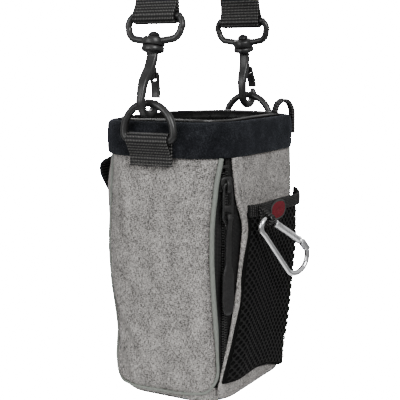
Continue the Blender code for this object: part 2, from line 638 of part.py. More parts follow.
def make_hook(side, names, mats, root):
    """Hook body, gate, pin and swivel eye on one side; -x in the hook's frame faces -X on both."""
    metal = mats["gunmetal"]
    frame = hook_frame(side)
    y_axis = Vector((0, 1, 0))
    line = hook_spine()
    widths = [6.0 * MM, 5.8 * MM, 5.4 * MM, 4.8 * MM] + [4.0 * MM] * (len(line) - 4)
    hook = add(names["hook"], bar(line, widths, HOOK_T, y_axis), metal, root, frame)
    post = turned([(0, FLANGE_LOW), (FLANGE_R - 0.4 * MM, FLANGE_LOW), (FLANGE_R, FLANGE_LOW + 0.4 * MM),
                   (FLANGE_R, FLANGE_HIGH), (POST_R, FLANGE_HIGH), (POST_R, BOSS_HIGH + GAP),
                   (2.8 * MM, BOSS_HIGH + GAP), (2.6 * MM, BOSS_HIGH + 1.5 * MM),
                   (1.5 * MM, BOSS_HIGH + 2.5 * MM), (0, BOSS_HIGH + 2.8 * MM)])
    boolean(hook, add("post", post, metal, root, frame), "UNION")
    lug_line = [Vector((-0.6 * MM, 0, 20.4 * MM)), Vector((2.2 * MM, 0, 17.4 * MM)),
                Vector((PIVOT[0], 0, PIVOT[1])), Vector((PIVOT[0] + 0.6 * MM, 0, PIVOT[1] - 1.7 * MM))]
    lug = bar(lug_line, [2.2 * MM] * 4, 3.4 * MM, y_axis)
    boolean(hook, add("lug", lug, metal, root, frame), "UNION")
    hole = rod_y(*PIVOT, PIN_HOLE_R, -4 * MM, 4 * MM)
    boolean(hook, add("hole", hole, metal, root, frame), "DIFFERENCE")

    tip = hook_spine()[-1]
    gate_points = [(PIVOT[0] - 0.3 * MM, PIVOT[1] + 1.6 * MM), PIVOT,
                   (tip.x - 0.7 * MM, tip.z + 5 * MM), (tip.x - 0.2 * MM, tip.z + 1.2 * MM)]
    gate_line = [Vector((x, 0, z)) for x, z in gate_points]
    gate = add(names["gate"], bar(gate_line, [GATE_W] * 4, 2.4 * MM, y_axis), metal, root, frame)
    slot = box((-4 * MM, -1.45 * MM, PIVOT[1] - 4.2 * MM), (9 * MM, 1.45 * MM, PIVOT[1] + 4 * MM))
    boolean(gate, add("slot", slot, metal, root, frame), "DIFFERENCE")
    hole = rod_y(*PIVOT, PIN_HOLE_R, -4 * MM, 4 * MM)
    boolean(gate, add("hole", hole, metal, root, frame), "DIFFERENCE")
    add(names["pin"], rod_y(*PIVOT, PIN_R, -2.5 * MM, 2.5 * MM), metal, root, frame)

    boss = turned([(BORE_R, BOSS_LOW), (BOSS_R, BOSS_LOW), (BOSS_R, BOSS_HIGH - 1 * MM),
                   (4.2 * MM, BOSS_HIGH), (BORE_R, BOSS_HIGH)])
    eye = add(names["eye"], boss, metal, root, frame)
    round_r = 6.0 * MM
    low_corner = (EYE_HALF - round_r - 0.6 * MM, EYE_LOW + round_r + 0.7 * MM)
    high_corner = [(EYE_BAR + (EYE_HALF - EYE_BAR) * c, EYE_HIGH - round_r + round_r * s)
                   for c, s in arc((0, 0), 1.0, 8, 90, 4)]
    right = [(BOSS_R - 2.4 * MM, EYE_LOW - 0.2 * MM), *arc(low_corner, round_r, -70, 0, 4), *high_corner]
    ring = right + [(-y, z) for y, z in reversed(right)]
    wire = tube([Vector((0, y, z)) for y, z in ring], EYE_WIRE_R, 8, flat=Vector((1, 0, 0)))
    boolean(eye, add("wire", wire, metal, root, frame), "UNION")


def strap_line():
    """Middle of the webbing, from the sewn end beside the -X eye to the one beside the +X eye."""
    wrap = EYE_WIRE_R + GAP + STRAP_T / 2
    half = (STRAP_T + GAP) / 2
    pinch = EYE_HIGH + 7.5 * MM
    leg = [(half, EYE_HIGH + STRAP_DOUBLE), (half, pinch), *arc((0, EYE_HIGH), wrap, 28, -208, 10),
           (-half, pinch), (-half, EYE_HIGH + STRAP_DOUBLE + 1 * MM)]
    left = [hook_frame(-1) @ Vector((x, 0, z)) for x, z in leg]
    start = left[-1]
    radius = -start.x / math.cos(HOOK_LEAN)
    centre_z = start.z - radius * math.sin(HOOK_LEAN)
    first = math.pi - HOOK_LEAN
    over = [first - (first - math.pi / 2) * i / 12 for i in range(1, 13)]
    left += [Vector((radius * math.cos(t), 0, centre_z + radius * math.sin(t))) for t in over]
    right = [Vector((-p.x, 0, p.z)) for p in reversed(left[:-1])]
    return left + right


def make_strap(mats, root):
    line = strap_line()
    add("strap_webbing", strip(line, STRAP_T, WEBBING, Vector((0, 1, 0))), mats["webbing"], root)


def main():
    clear_scene()
    mats = {
        "melange": material("melange", (0.36, 0.35, 0.33), 0.9),
        "velour": material("velour", (0.012, 0.014, 0.018), 0.95),
        "lining": material("lining", (0.012, 0.012, 0.013), 0.35),
        "piping": material("piping", (0.26, 0.28, 0.25), 0.8),
        "webbing": material("webbing", (0.017, 0.017, 0.017), 0.7),
        "mesh": material("mesh", (0.02, 0.02, 0.02), 0.75),
        "plastic": material("plastic", (0.02, 0.02, 0.021), 0.45),
        "gunmetal": material("gunmetal", (0.045, 0.045, 0.047), 0.4, 0.6),
        "chrome": material("chrome", (0.75, 0.76, 0.77), 0.15, 1.0),
        "label": material("label", (0.25, 0.02, 0.03), 0.8),
    }
    top = max(p.z for p in strap_line()) - STRAP_T / 2
    root = bpy.data.objects.new("hang_point", None)
    root.location = (0, 0, -top)
    bpy.context.collection.objects.link(root)

    make_body(mats, root)
    make_zip(mats, root)
    make_pocket(mats, root)
    make_carabiner(mats, root)
    make_loops(mats, root)
    for side, word in ((-1, "left"), (1, "right")):
        make_ring("d_ring_" + word, side, mats["gunmetal"], root)
        names = {"hook": "snap_hook_" + word, "gate": "hook_gate_" + word, "pin": "gate_pin_" + word,
                 "eye": "swivel_eye_" + word}
        make_hook(side, names, mats, root)
    make_strap(mats, root)


main()
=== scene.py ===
"""Looks of the treat pouch: fabric, net, webbing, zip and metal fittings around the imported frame.

Heights called z in this file are measured from the pouch's base, and lengths called s run along the
outline of its walls from the middle of the front towards +X, as in the frame's own design.
"""
import math

import bmesh
import bpy
import numpy as np
from mathutils import Matrix, Vector
from mathutils.bvhtree import BVHTree


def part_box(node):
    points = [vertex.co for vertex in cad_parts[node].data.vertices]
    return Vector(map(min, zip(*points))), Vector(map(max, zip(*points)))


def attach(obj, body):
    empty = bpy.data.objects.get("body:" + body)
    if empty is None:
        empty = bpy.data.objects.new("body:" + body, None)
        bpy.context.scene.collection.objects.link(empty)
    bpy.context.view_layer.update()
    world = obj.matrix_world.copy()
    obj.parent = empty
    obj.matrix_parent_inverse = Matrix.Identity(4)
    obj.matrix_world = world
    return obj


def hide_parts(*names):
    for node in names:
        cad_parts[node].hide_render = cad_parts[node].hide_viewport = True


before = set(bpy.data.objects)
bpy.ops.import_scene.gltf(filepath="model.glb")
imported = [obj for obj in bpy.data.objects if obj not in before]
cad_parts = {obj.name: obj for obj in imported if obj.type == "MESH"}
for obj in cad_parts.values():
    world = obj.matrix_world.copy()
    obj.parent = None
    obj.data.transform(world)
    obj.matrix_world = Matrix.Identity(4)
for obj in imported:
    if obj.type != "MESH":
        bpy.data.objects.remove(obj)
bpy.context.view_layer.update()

MM = 0.001

# ---- pouch body, from the frame
BASE_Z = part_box("base_panel")[0].z
HALF_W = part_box("side_panel_right")[1].x
HALF_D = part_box("back_panel")[1].y
BAND_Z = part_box("rim_band")[0].z - BASE_Z
RIM_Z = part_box("rim_band")[1].z - BASE_Z
CORNER_R = 24 * MM
TAPER = 0.08                # the base is this much smaller than the rim
WALL = 1.6 * MM
GAP = 0.35 * MM             # between pieces that touch
PIPING_R = 1.3 * MM
BAND_OUT = 1.85 * MM        # how far the rim band stands out from the wall
LINING_TOP = 146 * MM

FLAT_X = HALF_W - CORNER_R
FLAT_Y = HALF_D - CORNER_R
CORNER = CORNER_R * math.pi / 2
AROUND = 4 * (FLAT_X + FLAT_Y + CORNER)
SEAM_FRONT = FLAT_X + CORNER / 2
SEAM_BACK = AROUND / 2 - SEAM_FRONT
SIDES = ((-1, "left"), (1, "right"))

# ---- zip and pocket
ZIP_S = -38 * MM
ZIP_LOW, ZIP_HIGH = 18 * MM, 129 * MM
SLIDER_Z = 118 * MM
COIL_PITCH = 1.35 * MM
COIL_OUT = -WALL + 0.8 * MM + GAP
POCKET_S0 = -43 * MM        # left end of the pocket at its lower edge
POCKET_S1 = SEAM_FRONT - 2.6 * MM
NET_WIDE = POCKET_S1 + 22 * MM
POCKET_LOW = 6 * MM
POCKET_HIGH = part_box("mesh_pocket")[1].z - BASE_Z
BINDING_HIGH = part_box("pocket_binding")[1].z - BASE_Z
POCKET_STANDOFF = 4.4 * MM
POCKET_T = 0.8 * MM

# ---- rings, hooks and carry loop
WEBBING = 25 * MM
WIRE_R = 2.0 * MM
RING_X = (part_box("d_ring_right")[0].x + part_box("d_ring_right")[1].x) / 2
BAR_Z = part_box("d_ring_right")[0].z + WIRE_R - BASE_Z
RING_TOP_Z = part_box("d_ring_right")[1].z - WIRE_R - BASE_Z
RING_HALF = 14.8 * MM
RING_LEG = RING_TOP_Z - BAR_Z - RING_HALF
TAB_T = 1.2 * MM
TAB_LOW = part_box("ring_tab_left")[0].z - BASE_Z
HOOK_LEAN = math.radians(11)
THROAT_R = 5.0 * MM
THROAT_UP = 1.0 * MM
HOOK_T = 3.8 * MM
FLANGE_LOW, FLANGE_HIGH = 26.0 * MM, 28.8 * MM
BOSS_LOW, BOSS_HIGH = 29.15 * MM, 33.6 * MM
BOSS_R = 5.9 * MM
EYE_LOW, EYE_HIGH = 31.6 * MM, 44.0 * MM
EYE_HALF, EYE_BAR, EYE_WIRE_R = 16.2 * MM, 13.0 * MM, 1.9 * MM
SWIVEL_R = 5.9 * MM
PIVOT = (3.6 * MM, 14.6 * MM)
STRAP_T = 1.6 * MM
STRAP_DOUBLE = 18 * MM
RIB = 1.7 * MM              # pitch of the webbing's cross ribs

# ---- carabiner
CARABINER_AT = (-16.0 * MM, -48.2 * MM, 94.0 * MM)
CARABINER_TILT = math.radians(48)
CARABINER_YAW = math.radians(20)
CARABINER_WIRE_R = 1.5 * MM
SMALL_R, BIG_R, CARABINER_L = 4.6 * MM, 9.2 * MM, 28 * MM

# ---- camera
CAMERA_AT = (-0.4642, -0.2672, -0.0740)
CAMERA_HEADING = 59.9              # from +Y towards +X
CAMERA_PITCH = -8.54
CAMERA_ROLL = -0.37
FOCAL_PIXELS = 963.0
WORLD_LIGHT = 0.9
WHITE_BEHIND = 60.0                # what the camera sees behind everything
IMAGE_PIXELS = 400.0


# ------------------------------------------------------------------ small maths
def smooth(x):
    """Smooth step from 0 at 0 to 1 at 1."""
    x = np.clip(x, 0.0, 1.0)
    return x * x * (3 - 2 * x)


def spline(points, step):
    """Even points along a Catmull-Rom curve through points (numpy, 2 or 3 columns)."""
    pts = np.array(points, dtype=float)
    full = np.vstack([2 * pts[0] - pts[1], pts, 2 * pts[-1] - pts[-2]])
    fine = []
    for a, b, c, d in zip(full, full[1:], full[2:], full[3:]):
        for t in np.linspace(0, 1, 24, endpoint=False):
            fine.append(0.5 * (2 * b + (c - a) * t + (2 * a - 5 * b + 4 * c - d) * t * t
                               + (3 * b - a - 3 * c + d) * t ** 3))
    fine.append(pts[-1])
    return even(np.array(fine), step)


def run_along(line):
    """Length gone at each point of a polyline."""
    return np.concatenate([[0], np.cumsum(np.linalg.norm(np.diff(line, axis=0), axis=1))])


def even(line, step):
    """Points at an even step along a polyline."""
    gone = run_along(line)
    count = max(2, int(round(gone[-1] / step)) + 1)
    marks = np.linspace(0, gone[-1], count)
    return np.stack([np.interp(marks, gone, line[:, k]) for k in range(line.shape[1])], axis=1)


def arc(centre, radius, start, end, steps):
    """Points (a, b) on an arc, angles in degrees."""
    turns = np.radians(np.linspace(start, end, steps + 1))
    return [(centre[0] + radius * math.cos(t), centre[1] + radius * math.sin(t)) for t in turns]


def ripples(seed, count, short, long, size):
    """Seeded waves over (s, z): short and long are the ranges of wavelength across and up."""
    rng = np.random.default_rng(seed)
    waves = []
    while len(waves) < count:
        waves.append((rng.uniform(*short), rng.uniform(*long) * rng.choice([-1, 1]),
                      rng.uniform(0, 2 * math.pi), size * rng.uniform(0.5, 1.0)))

    def height(s, z):
        return sum(a * np.sin(2 * math.pi * (s / across + z / up) + phase) for across, up, phase, a in waves)
    return height


# ------------------------------------------------------------------ the pouch's walls
TURN_S = [0, FLAT_X, FLAT_X + CORNER, FLAT_X + CORNER + 2 * FLAT_Y, AROUND / 2 - FLAT_X, AROUND / 2]
TURN_AT = [-math.pi / 2, -math.pi / 2, 0, 0, math.pi / 2, math.pi / 2]
CENTRE_X = [0, FLAT_X, FLAT_X, FLAT_X, FLAT_X, 0]
CENTRE_Y = [-FLAT_Y, -FLAT_Y, -FLAT_Y, FLAT_Y, FLAT_Y, FLAT_Y]


def outline(s):
    """Points and outward normals of the rim's outline, as arrays with 3 columns last."""
    s = np.asarray(s, dtype=float)
    s = (s + AROUND / 2) % AROUND - AROUND / 2
    side = np.where(s >= 0, 1.0, -1.0)
    turn = np.interp(np.abs(s), TURN_S, TURN_AT)
    x = np.interp(np.abs(s), TURN_S, CENTRE_X) + CORNER_R * np.cos(turn)
    y = np.interp(np.abs(s), TURN_S, CENTRE_Y) + CORNER_R * np.sin(turn)
    zero = np.zeros_like(s)
    return np.stack([x * side, y, zero], -1), np.stack([np.cos(turn) * side, np.sin(turn), zero], -1)


def wall(s, z, out):
    """Points on the pouch's wall at (s, z), moved outwards by out, in the frame's own place."""
    s, z, out = np.broadcast_arrays(*[np.asarray(v, dtype=float) for v in (s, z, out)])
    point, normal = outline(s)
    shrink = 1 - TAPER * np.clip((BAND_Z - z) / BAND_Z, 0, None)
    result = point * shrink[..., None] + normal * out[..., None]
    result[..., 2] = z + BASE_Z
    return result


body_ripple = ripples(5, 9, (17 * MM, 46 * MM), (60 * MM, 210 * MM), 0.26 * MM)
SEAMS = [-SEAM_BACK, -SEAM_FRONT, SEAM_FRONT, SEAM_BACK]

# bulges of the filled pouch at heights above its base
SAG_Z = np.array([0, 8, 20, 36, 48, 60, 75, 88, 104, 118, 132]) * MM
SAG_BACK = np.array([1.9, 3.2, 3.5, 2.0, 2.9, 4.1, 4.6, 4.2, 2.7, 1.3, 0.0]) * MM
SAG_RIGHT = np.array([0.0, 0.0, -0.6, 0.6, 1.4, 2.0, 2.5, 2.2, 1.6, 1.2, 0.2]) * MM
SAG_WIDE = 24 * MM


def sag(s, z):
    """Slow bulges of the filled pouch at its back left and front right corners."""
    back = np.exp(-((s + SEAM_BACK + 4 * MM) / SAG_WIDE) ** 2) * np.interp(z, SAG_Z, SAG_BACK)
    around = np.exp(-((s - AROUND + SEAM_BACK + 4 * MM) / SAG_WIDE) ** 2) * np.interp(z, SAG_Z, SAG_BACK)
    right = np.exp(-((s - SEAM_FRONT + 5 * MM) / (0.8 * SAG_WIDE)) ** 2) * np.interp(z, SAG_Z, SAG_RIGHT)
    return back + around + right


def soft(s, z):
    """How far the padded fabric stands out from the flat wall."""
    s, z = np.broadcast_arrays(np.asarray(s, dtype=float), np.asarray(z, dtype=float))
    near = np.min([np.abs(s - seam) for seam in [*SEAMS, AROUND - SEAM_BACK]], axis=0)
    full = smooth(near / (15 * MM)) * smooth((BAND_Z + 2 * MM - z) / (22 * MM)) * smooth(z / (14 * MM))
    return full * (1.5 * MM + body_ripple(s, z)) + sag(s, z) + 0.25 * body_ripple(s * 1.7, z * 1.3)


# ------------------------------------------------------------------ meshes
def link(name, mesh, look, body):
    """New object in the scene that rides on a body; look is (material, slot), and its slot is not used."""
    mat, slot = look
    mesh.materials.append(mat)
    obj = bpy.data.objects.new(name, mesh)
    bpy.context.collection.objects.link(obj)
    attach(obj, body)
    return obj


def mesh_of(name, bm):
    """Smooth mesh from a bmesh, which is freed."""
    mesh = bpy.data.meshes.new(name)
    bm.to_mesh(mesh)
    bm.free()
    mesh.shade_smooth()
    return mesh


def tidy(mesh, sharp=None):
    """Faces out, and edges sharper than an angle in degrees kept sharp."""
    bm = bmesh.new()
    bm.from_mesh(mesh)
    bmesh.ops.recalc_face_normals(bm, faces=bm.faces)
    bm.to_mesh(mesh)
    bm.free()
    if sharp is not None:
        mesh.set_sharp_from_angle(angle=math.radians(sharp))


def grid(name, points, look, body, uv=None, wrap_u=False, wrap_v=False, caps=False, sharp=None):
    """Quads over an n by m array of points, with a UV map in metres; look is (material, slot)."""
    n, m = points.shape[:2]
    if uv is None:
        full = np.concatenate([points, points[:1]], 0) if wrap_u else points
        full = np.concatenate([full, full[:, :1]], 1) if wrap_v else full
        du = np.linalg.norm(np.diff(full, axis=0), axis=2).mean(axis=1)
        dv = np.linalg.norm(np.diff(full, axis=1), axis=2).mean(axis=0)
        us, vs = (np.concatenate([[0], np.cumsum(d)]) for d in (du, dv))
        uv = np.stack(np.meshgrid(us, vs, indexing="ij"), -1)
    faces, corners = [], []
    for i in range(n if wrap_u else n - 1):
        for j in range(m if wrap_v else m - 1):
            ring = ((i, j), (i + 1, j), (i + 1, j + 1), (i, j + 1))
            faces.append([(a % n) * m + b % m for a, b in ring])
            corners += [uv[a, b] for a, b in ring]
    if caps:
        for i in (0, n - 1):
            order = range(m) if i else range(m - 1, -1, -1)
            faces.append([i * m + j for j in order])
            corners += [uv[i, j] for j in order]
    mesh = bpy.data.meshes.new(name)
    mesh.from_pydata([tuple(v) for v in points.reshape(-1, 3)], [], faces)
    layer = mesh.uv_layers.new(name="weave")
    layer.data.foreach_set("uv", np.asarray(corners, dtype=np.float32).ravel())
    mesh.validate()
    mesh.shade_smooth()
    if wrap_v:
        tidy(mesh, sharp)
    return link(name, mesh, look, body)


def cloth(name, s, z, out, look, thick):
    """Sheet of fabric over the wall: s, z and out are arrays of one shape, s first."""
    obj = grid(name, wall(s, z, out), look, "pouch", uv=np.stack(np.broadcast_arrays(s, z), -1))
    thicken(obj, thick)
    smooth_more(obj)
    return obj


def thicken(obj, thick, offset=-1):
    """Thickness for a sheet: inwards for an offset of -1, outwards for 1."""
    step = obj.modifiers.new("thickness", "SOLIDIFY")
    step.thickness = thick
    step.offset = offset


def smooth_more(obj):
    step = obj.modifiers.new("smooth", "SUBSURF")
    step.levels = 1
    step.render_levels = 1


def frames_along(path, flat, closed=False):
    """Two unit vectors across a path at each point; flat is a direction that it never runs along."""
    if closed:
        along = np.roll(path, -1, axis=0) - np.roll(path, 1, axis=0)
    else:
        along = np.gradient(path, axis=0)
    along /= np.linalg.norm(along, axis=1)[:, None]
    u = np.cross(along, flat)
    u /= np.linalg.norm(u, axis=1)[:, None]
    return u, np.cross(along, u)


def sweep(name, path, section, look, body, flat, closed=False, matrix=None, sharp=None):
    """Solid along a path; section is an m by 2 array, or a function of the point's index."""
    path = np.array(path, dtype=float)
    u, v = frames_along(path, flat, closed)
    rings = []
    for i in range(len(path)):
        shape = section(i) if callable(section) else section
        rings.append(path[i] + shape[:, :1] * u[i] + shape[:, 1:] * v[i])
    points = np.array(rings)
    if matrix is not None:
        points = placed(points, matrix)
    return grid(name, points, look, body, wrap_u=closed, wrap_v=True, caps=not closed, sharp=sharp)


def placed(points, matrix):
    m = np.array(matrix)
    return points @ m[:3, :3].T + m[:3, 3]


def circle(radius, sides=16):
    turns = np.linspace(0, 2 * math.pi, sides, endpoint=False)
    return np.stack([radius * np.cos(turns), radius * np.sin(turns)], -1)


def slab(across, thick, corner, per=4):
    """Rounded rectangle: across along the first axis and thick along the second."""
    corner = min(corner, across / 2, thick / 2)
    points = []
    for sx, sy, start in ((1, 1, 0), (-1, 1, 90), (-1, -1, 180), (1, -1, 270)):
        centre = (sx * (across / 2 - corner), sy * (thick / 2 - corner))
        points += arc(centre, corner, start, start + 90, per)
    return np.array(points)


def turned(profile, steps=48):
    """Points of a solid of revolution about Z from (radius, z) pairs."""
    turns = np.linspace(0, 2 * math.pi, steps, endpoint=False)
    rows = [np.stack([r * np.cos(turns), r * np.sin(turns), np.full(steps, z)], -1) for r, z in profile]
    return np.array(rows)


def all_round(count):
    """Even places s round the whole outline."""
    return np.linspace(-AROUND / 2, AROUND / 2, count + 1)[:-1]


def lathe(name, profile, look, body, matrix):
    return grid(name, placed(turned(profile), matrix), look, body, wrap_v=True, caps=True, sharp=40)


def joined(name, objs):
    """One object made of several with the same ride, under a name."""
    first = objs[0]
    bm = bmesh.new()
    graph = bpy.context.evaluated_depsgraph_get()
    for obj in objs:
        shown = bpy.data.meshes.new_from_object(obj.evaluated_get(graph))
        bm.from_mesh(shown)
        bpy.data.meshes.remove(shown)
    first.modifiers.clear()
    bm.to_mesh(first.data)
    bm.free()
    for obj in objs[1:]:
        bpy.data.objects.remove(obj, do_unlink=True)
    first.name = name
    return first


def pin_at(place):
    """Matrix that lays a solid of revolution along Y at a place in the plane of a hook."""
    return Matrix.Translation(place) @ Matrix.Rotation(math.radians(-90), 4, "X")


def rounded_box(low, high, bevel, segments=2):
    """Bmesh of a bevelled box between two corners."""
    bm = bmesh.new()
    bmesh.ops.create_cube(bm, size=1.0)
    low, high = Vector(low), Vector(high)
    for v in bm.verts:
        v.co = Vector(c * s for c, s in zip(v.co, high - low)) + (low + high) / 2
    bmesh.ops.bevel(bm, geom=bm.edges[:] + bm.verts[:], offset=bevel, segments=segments,
                    affect="EDGES", profile=0.5)
    return bm


def shown_tree(*objs):
    """Search tree of objects as they show."""
    graph = bpy.context.evaluated_depsgraph_get()
    verts, faces = [], []
    for obj in objs:
        shown = obj.evaluated_get(graph).to_mesh()
        start = len(verts)
        verts += [v.co.copy() for v in shown.vertices]
        faces += [[start + i for i in p.vertices] for p in shown.polygons]
        obj.evaluated_get(graph).to_mesh_clear()
    return BVHTree.FromPolygons(verts, faces)


# ------------------------------------------------------------------ materials
def grey(value, warm=0.0):
    return (value * (1 + warm), value, value * (1 - warm))


def set_stops(ramp, stops):
    """Stops of a colour ramp, from (position, colour) pairs."""
    while len(ramp.elements) < len(stops):
        ramp.elements.new(0.5)
    for element, (at, colour) in zip(ramp.elements, stops):
        element.position = at
        element.color = (*colour, 1.0)


class Look:
    """A procedural material under construction: node helpers over one Principled shader."""

    def __init__(self, name, roughness=0.8, metallic=0.0, **fixed):
        self.mat = bpy.data.materials.new(name)
        self.mat.use_nodes = True
        self.tree = self.mat.node_tree
        self.shader = self.tree.nodes["Principled BSDF"]
        self.shader.inputs["Roughness"].default_value = roughness
        self.shader.inputs["Metallic"].default_value = metallic
        for socket, value in fixed.items():
            self.shader.inputs[socket.replace("_", " ")].default_value = value

    def node(self, kind, links=(), **settings):
        made = self.tree.nodes.new("ShaderNode" + kind)
        for key, value in settings.items():
            setattr(made, key, value)
        for socket, value in links:
            if isinstance(value, bpy.types.NodeSocket):
                self.tree.links.new(value, made.inputs[socket])
            else:
                made.inputs[socket].default_value = value
        return made

    def weave(self, stretch=(1.0, 1.0)):
        """UV in millimetres times a factor each way."""
        uv = self.node("UVMap", uv_map="weave")
        factor = (1000 * stretch[0], 1000 * stretch[1], 1.0)
        return self.node("Mapping", [("Vector", uv.outputs["UV"]), ("Scale", factor)]).outputs["Vector"]

    def space(self):
        """Object coordinates in millimetres."""
        place = self.node("TexCoord").outputs["Object"]
        return self.node("Mapping", [("Vector", place), ("Scale", (1000, 1000, 1000))]).outputs["Vector"]

    def noise(self, vector, scale=1.0, detail=2.0, rough=0.5):
        return self.node("TexNoise", [("Vector", vector), ("Scale", scale), ("Detail", detail),
                                      ("Roughness", rough)]).outputs["Fac"]

    def math(self, operation, a, b=0.0):
        return self.node("Math", [(0, a), (1, b)], operation=operation).outputs[0]

    def scaled(self, a, factor, added):
        """a times a factor, plus another value."""
        return self.node("Math", [(0, a), (1, factor), (2, added)], operation="MULTIPLY_ADD").outputs[0]

    def wave(self, vector, axis, pitch, start=0.0):
        """Sine from 0 to 1 along one axis of the vector, with a pitch in its units."""
        part = self.node("SeparateXYZ", [(0, vector)]).outputs[axis]
        sine = self.math("SINE", self.scaled(part, 2 * math.pi / pitch, start))
        return self.scaled(sine, 0.5, 0.5)

    def ramp(self, fac, stops):
        made = self.node("ValToRGB", [("Fac", fac)])
        set_stops(made.color_ramp, stops)
        return made.outputs["Color"]

    def colour(self, fac, stops):
        self.tree.links.new(self.ramp(fac, stops), self.shader.inputs["Base Color"])

    def roughness(self, fac, stops):
        levels = [(at, grey(level)) for at, level in stops]
        self.tree.links.new(self.ramp(fac, levels), self.shader.inputs["Roughness"])

    def bump(self, height, strength, distance):
        """One more layer of relief over those the shader has."""
        made = self.node("Bump", [("Height", height), ("Strength", strength), ("Distance", distance)])
        before = self.shader.inputs["Normal"].links
        if before:
            self.tree.links.new(before[0].from_socket, made.inputs["Normal"])
        self.tree.links.new(made.outputs["Normal"], self.shader.inputs["Normal"])
        return self


def melange(name="melange", dark=0.036, light=0.46):
    """Plain weave of mixed light and dark grey threads."""
    look = Look(name, 0.9, Specular_IOR_Level=0.2)
    warp = look.noise(look.weave((2.5, 0.55)), 1.0, 2.0, 0.6)
    weft = look.noise(look.weave((0.75, 2.4)), 1.0, 2.0, 0.6)
    over = look.node("TexChecker", [("Vector", look.weave()), ("Scale", 1.9)]).outputs["Fac"]
    threads = look.node("Mix", [(0, over), (2, warp), (3, weft)], data_type="FLOAT").outputs[0]
    slow = look.noise(look.weave((1.0, 0.6)), 0.16, 2.0)
    mottle = look.noise(look.weave((1.0, 0.45)), 0.9, 2.0)
    blended = look.scaled(slow, 0.18, look.scaled(mottle, 0.20, threads))
    middle = (dark * light) ** 0.5
    warm = 0.045
    look.colour(look.math("SUBTRACT", blended, 0.19),
                [(0.36, grey(dark, warm)), (0.44, grey(middle * 0.8, warm)),
                 (0.51, grey(middle * 1.7, warm)), (0.62, grey(light, warm))])
    fine = look.weave()
    weave_height = look.math("MULTIPLY", look.wave(fine, 0, 0.55), look.wave(fine, 1, 0.55))
    look.bump(weave_height, 0.25, 0.12 * MM)
    look.bump(blended, 0.35, 0.22 * MM)
    return look.mat


def velour():
    look = Look("velour", 1.0, Sheen_Weight=0.10, Sheen_Roughness=0.4, Sheen_Tint=(0.55, 0.60, 0.72, 1.0),
                Specular_IOR_Level=0.05)
    nap = look.noise(look.space(), 1.5, 4.0, 0.7)
    patch = look.noise(look.space(), 0.14, 2.0)
    look.colour(look.scaled(patch, 0.5, nap), [(0.50, (0.003, 0.0032, 0.0040)),
                                               (0.76, (0.010, 0.0108, 0.0130)),
                                               (0.98, (0.030, 0.032, 0.037))])
    look.bump(nap, 0.9, 0.30 * MM)
    return look.mat


def webbing(name="webbing", level=1.0, column=0.95, rib=RIB / MM):
    """Black ribbed webbing, whose ribs are in the mesh too: its colour is lightest in dots where the yarn
    columns cross the rib crests, a painted highlight, varied at random by the yarn.
    """
    look = Look(name, 0.62, Specular_IOR_Level=0.22)
    fine = look.weave()
    columns = look.wave(fine, 1, column)
    yarn = look.noise(look.weave((0.6, 2.4)), 1.6, 3.0, 0.6)
    # painted highlight: the colour is lighter along each rib's crest
    crest_highlight = look.wave(fine, 0, rib, -math.pi / 2)
    # yarn tone that varies at random, times painted highlight dots where yarn columns cross the crests
    yarn_and_highlight_dots = look.math("MULTIPLY", look.math("MULTIPLY", columns, crest_highlight), look.math("MULTIPLY", yarn, 1.7))
    look.colour(yarn_and_highlight_dots, [(0.04, grey(0.003 * level)), (0.30, grey(0.015 * level)),
                      (0.70, grey(0.115 * level, 0.02))])
    look.bump(columns, 0.5, 0.16 * MM)
    look.bump(yarn, 0.35, 0.10 * MM)
    return look.mat


def lining():
    look = Look("lining", 0.3, Coat_Weight=0.35, Coat_Roughness=0.2)
    cross = look.noise(look.weave(), 0.9, 3.0)
    look.colour(cross, [(0.3, grey(0.006)), (0.7, grey(0.016))])
    look.roughness(look.noise(look.space(), 0.2), [(0.3, 0.24), (0.7, 0.42)])
    look.bump(look.noise(look.space(), 0.11, 2.0), 0.5, 0.8 * MM)
    return look.mat


def piping():
    look = Look("piping", 0.55, Specular_IOR_Level=0.3)
    threads = look.noise(look.weave((0.5, 2.6)), 1.0, 2.0)
    look.colour(threads, [(0.25, (0.125, 0.136, 0.122)), (0.5, (0.175, 0.190, 0.170)),
                          (0.8, (0.235, 0.250, 0.228))])
    look.bump(look.wave(look.weave(), 0, 0.6), 0.25, 0.06 * MM)
    return look.mat


def grained(name, base, grain, colours, levels=None, patch=None, relief=None, metallic=0.0, **fixed):
    """Material of one noise: its colours, roughness levels (or those of another noise) and relief."""
    look = Look(name, base, metallic, **fixed)
    fac = look.noise(look.space(), *grain)
    look.colour(fac, colours)
    if levels:
        look.roughness(look.noise(look.space(), patch) if patch else fac, levels)
    if relief:
        look.bump(fac, *relief)
    return look.mat


def moulded(name="moulded", level=0.011, rough=0.36, specular=0.4):
    return grained(name, rough, (1.3, 3.0), [(0.3, grey(level * 0.75)), (0.7, grey(level * 1.5, 0.01))],
                   [(0.3, rough * 0.85), (0.7, rough * 1.2)], 0.5, (0.15, 0.05 * MM),
                   Specular_IOR_Level=specular)


def gunmetal():
    look = Look("gunmetal", 0.36, 0.55, Specular_IOR_Level=0.45)
    cast = look.noise(look.space(), 0.9, 3.0)
    worn = look.noise(look.space(), 0.25, 4.0, 0.6)
    look.colour(worn, [(0.3, grey(0.026)), (0.6, grey(0.036)), (0.85, grey(0.060, 0.02))])
    look.roughness(cast, [(0.3, 0.30), (0.7, 0.42)])
    look.bump(cast, 0.12, 0.05 * MM)
    return look.mat


def label_cloth():
    look = Look("label_cloth", 0.75, Specular_IOR_Level=0.2)
    fine = look.weave()
    twill = look.math("MULTIPLY", look.wave(fine, 0, 0.5), look.wave(fine, 1, 0.42))
    yarn = look.noise(fine, 2.0, 2.0)
    look.colour(look.scaled(yarn, 0.5, twill), [(0.15, (0.045, 0.003, 0.006)),
                                                (0.55, (0.13, 0.008, 0.015)), (1.0, (0.24, 0.020, 0.030))])
    look.bump(twill, 0.5, 0.1 * MM)
    return look.mat


def thread(name, dark, light):
    return grained(name, 0.6, (3.0, 2.0), [(0.3, grey(dark)), (0.7, grey(light))],
                   relief=(0.4, 0.05 * MM))


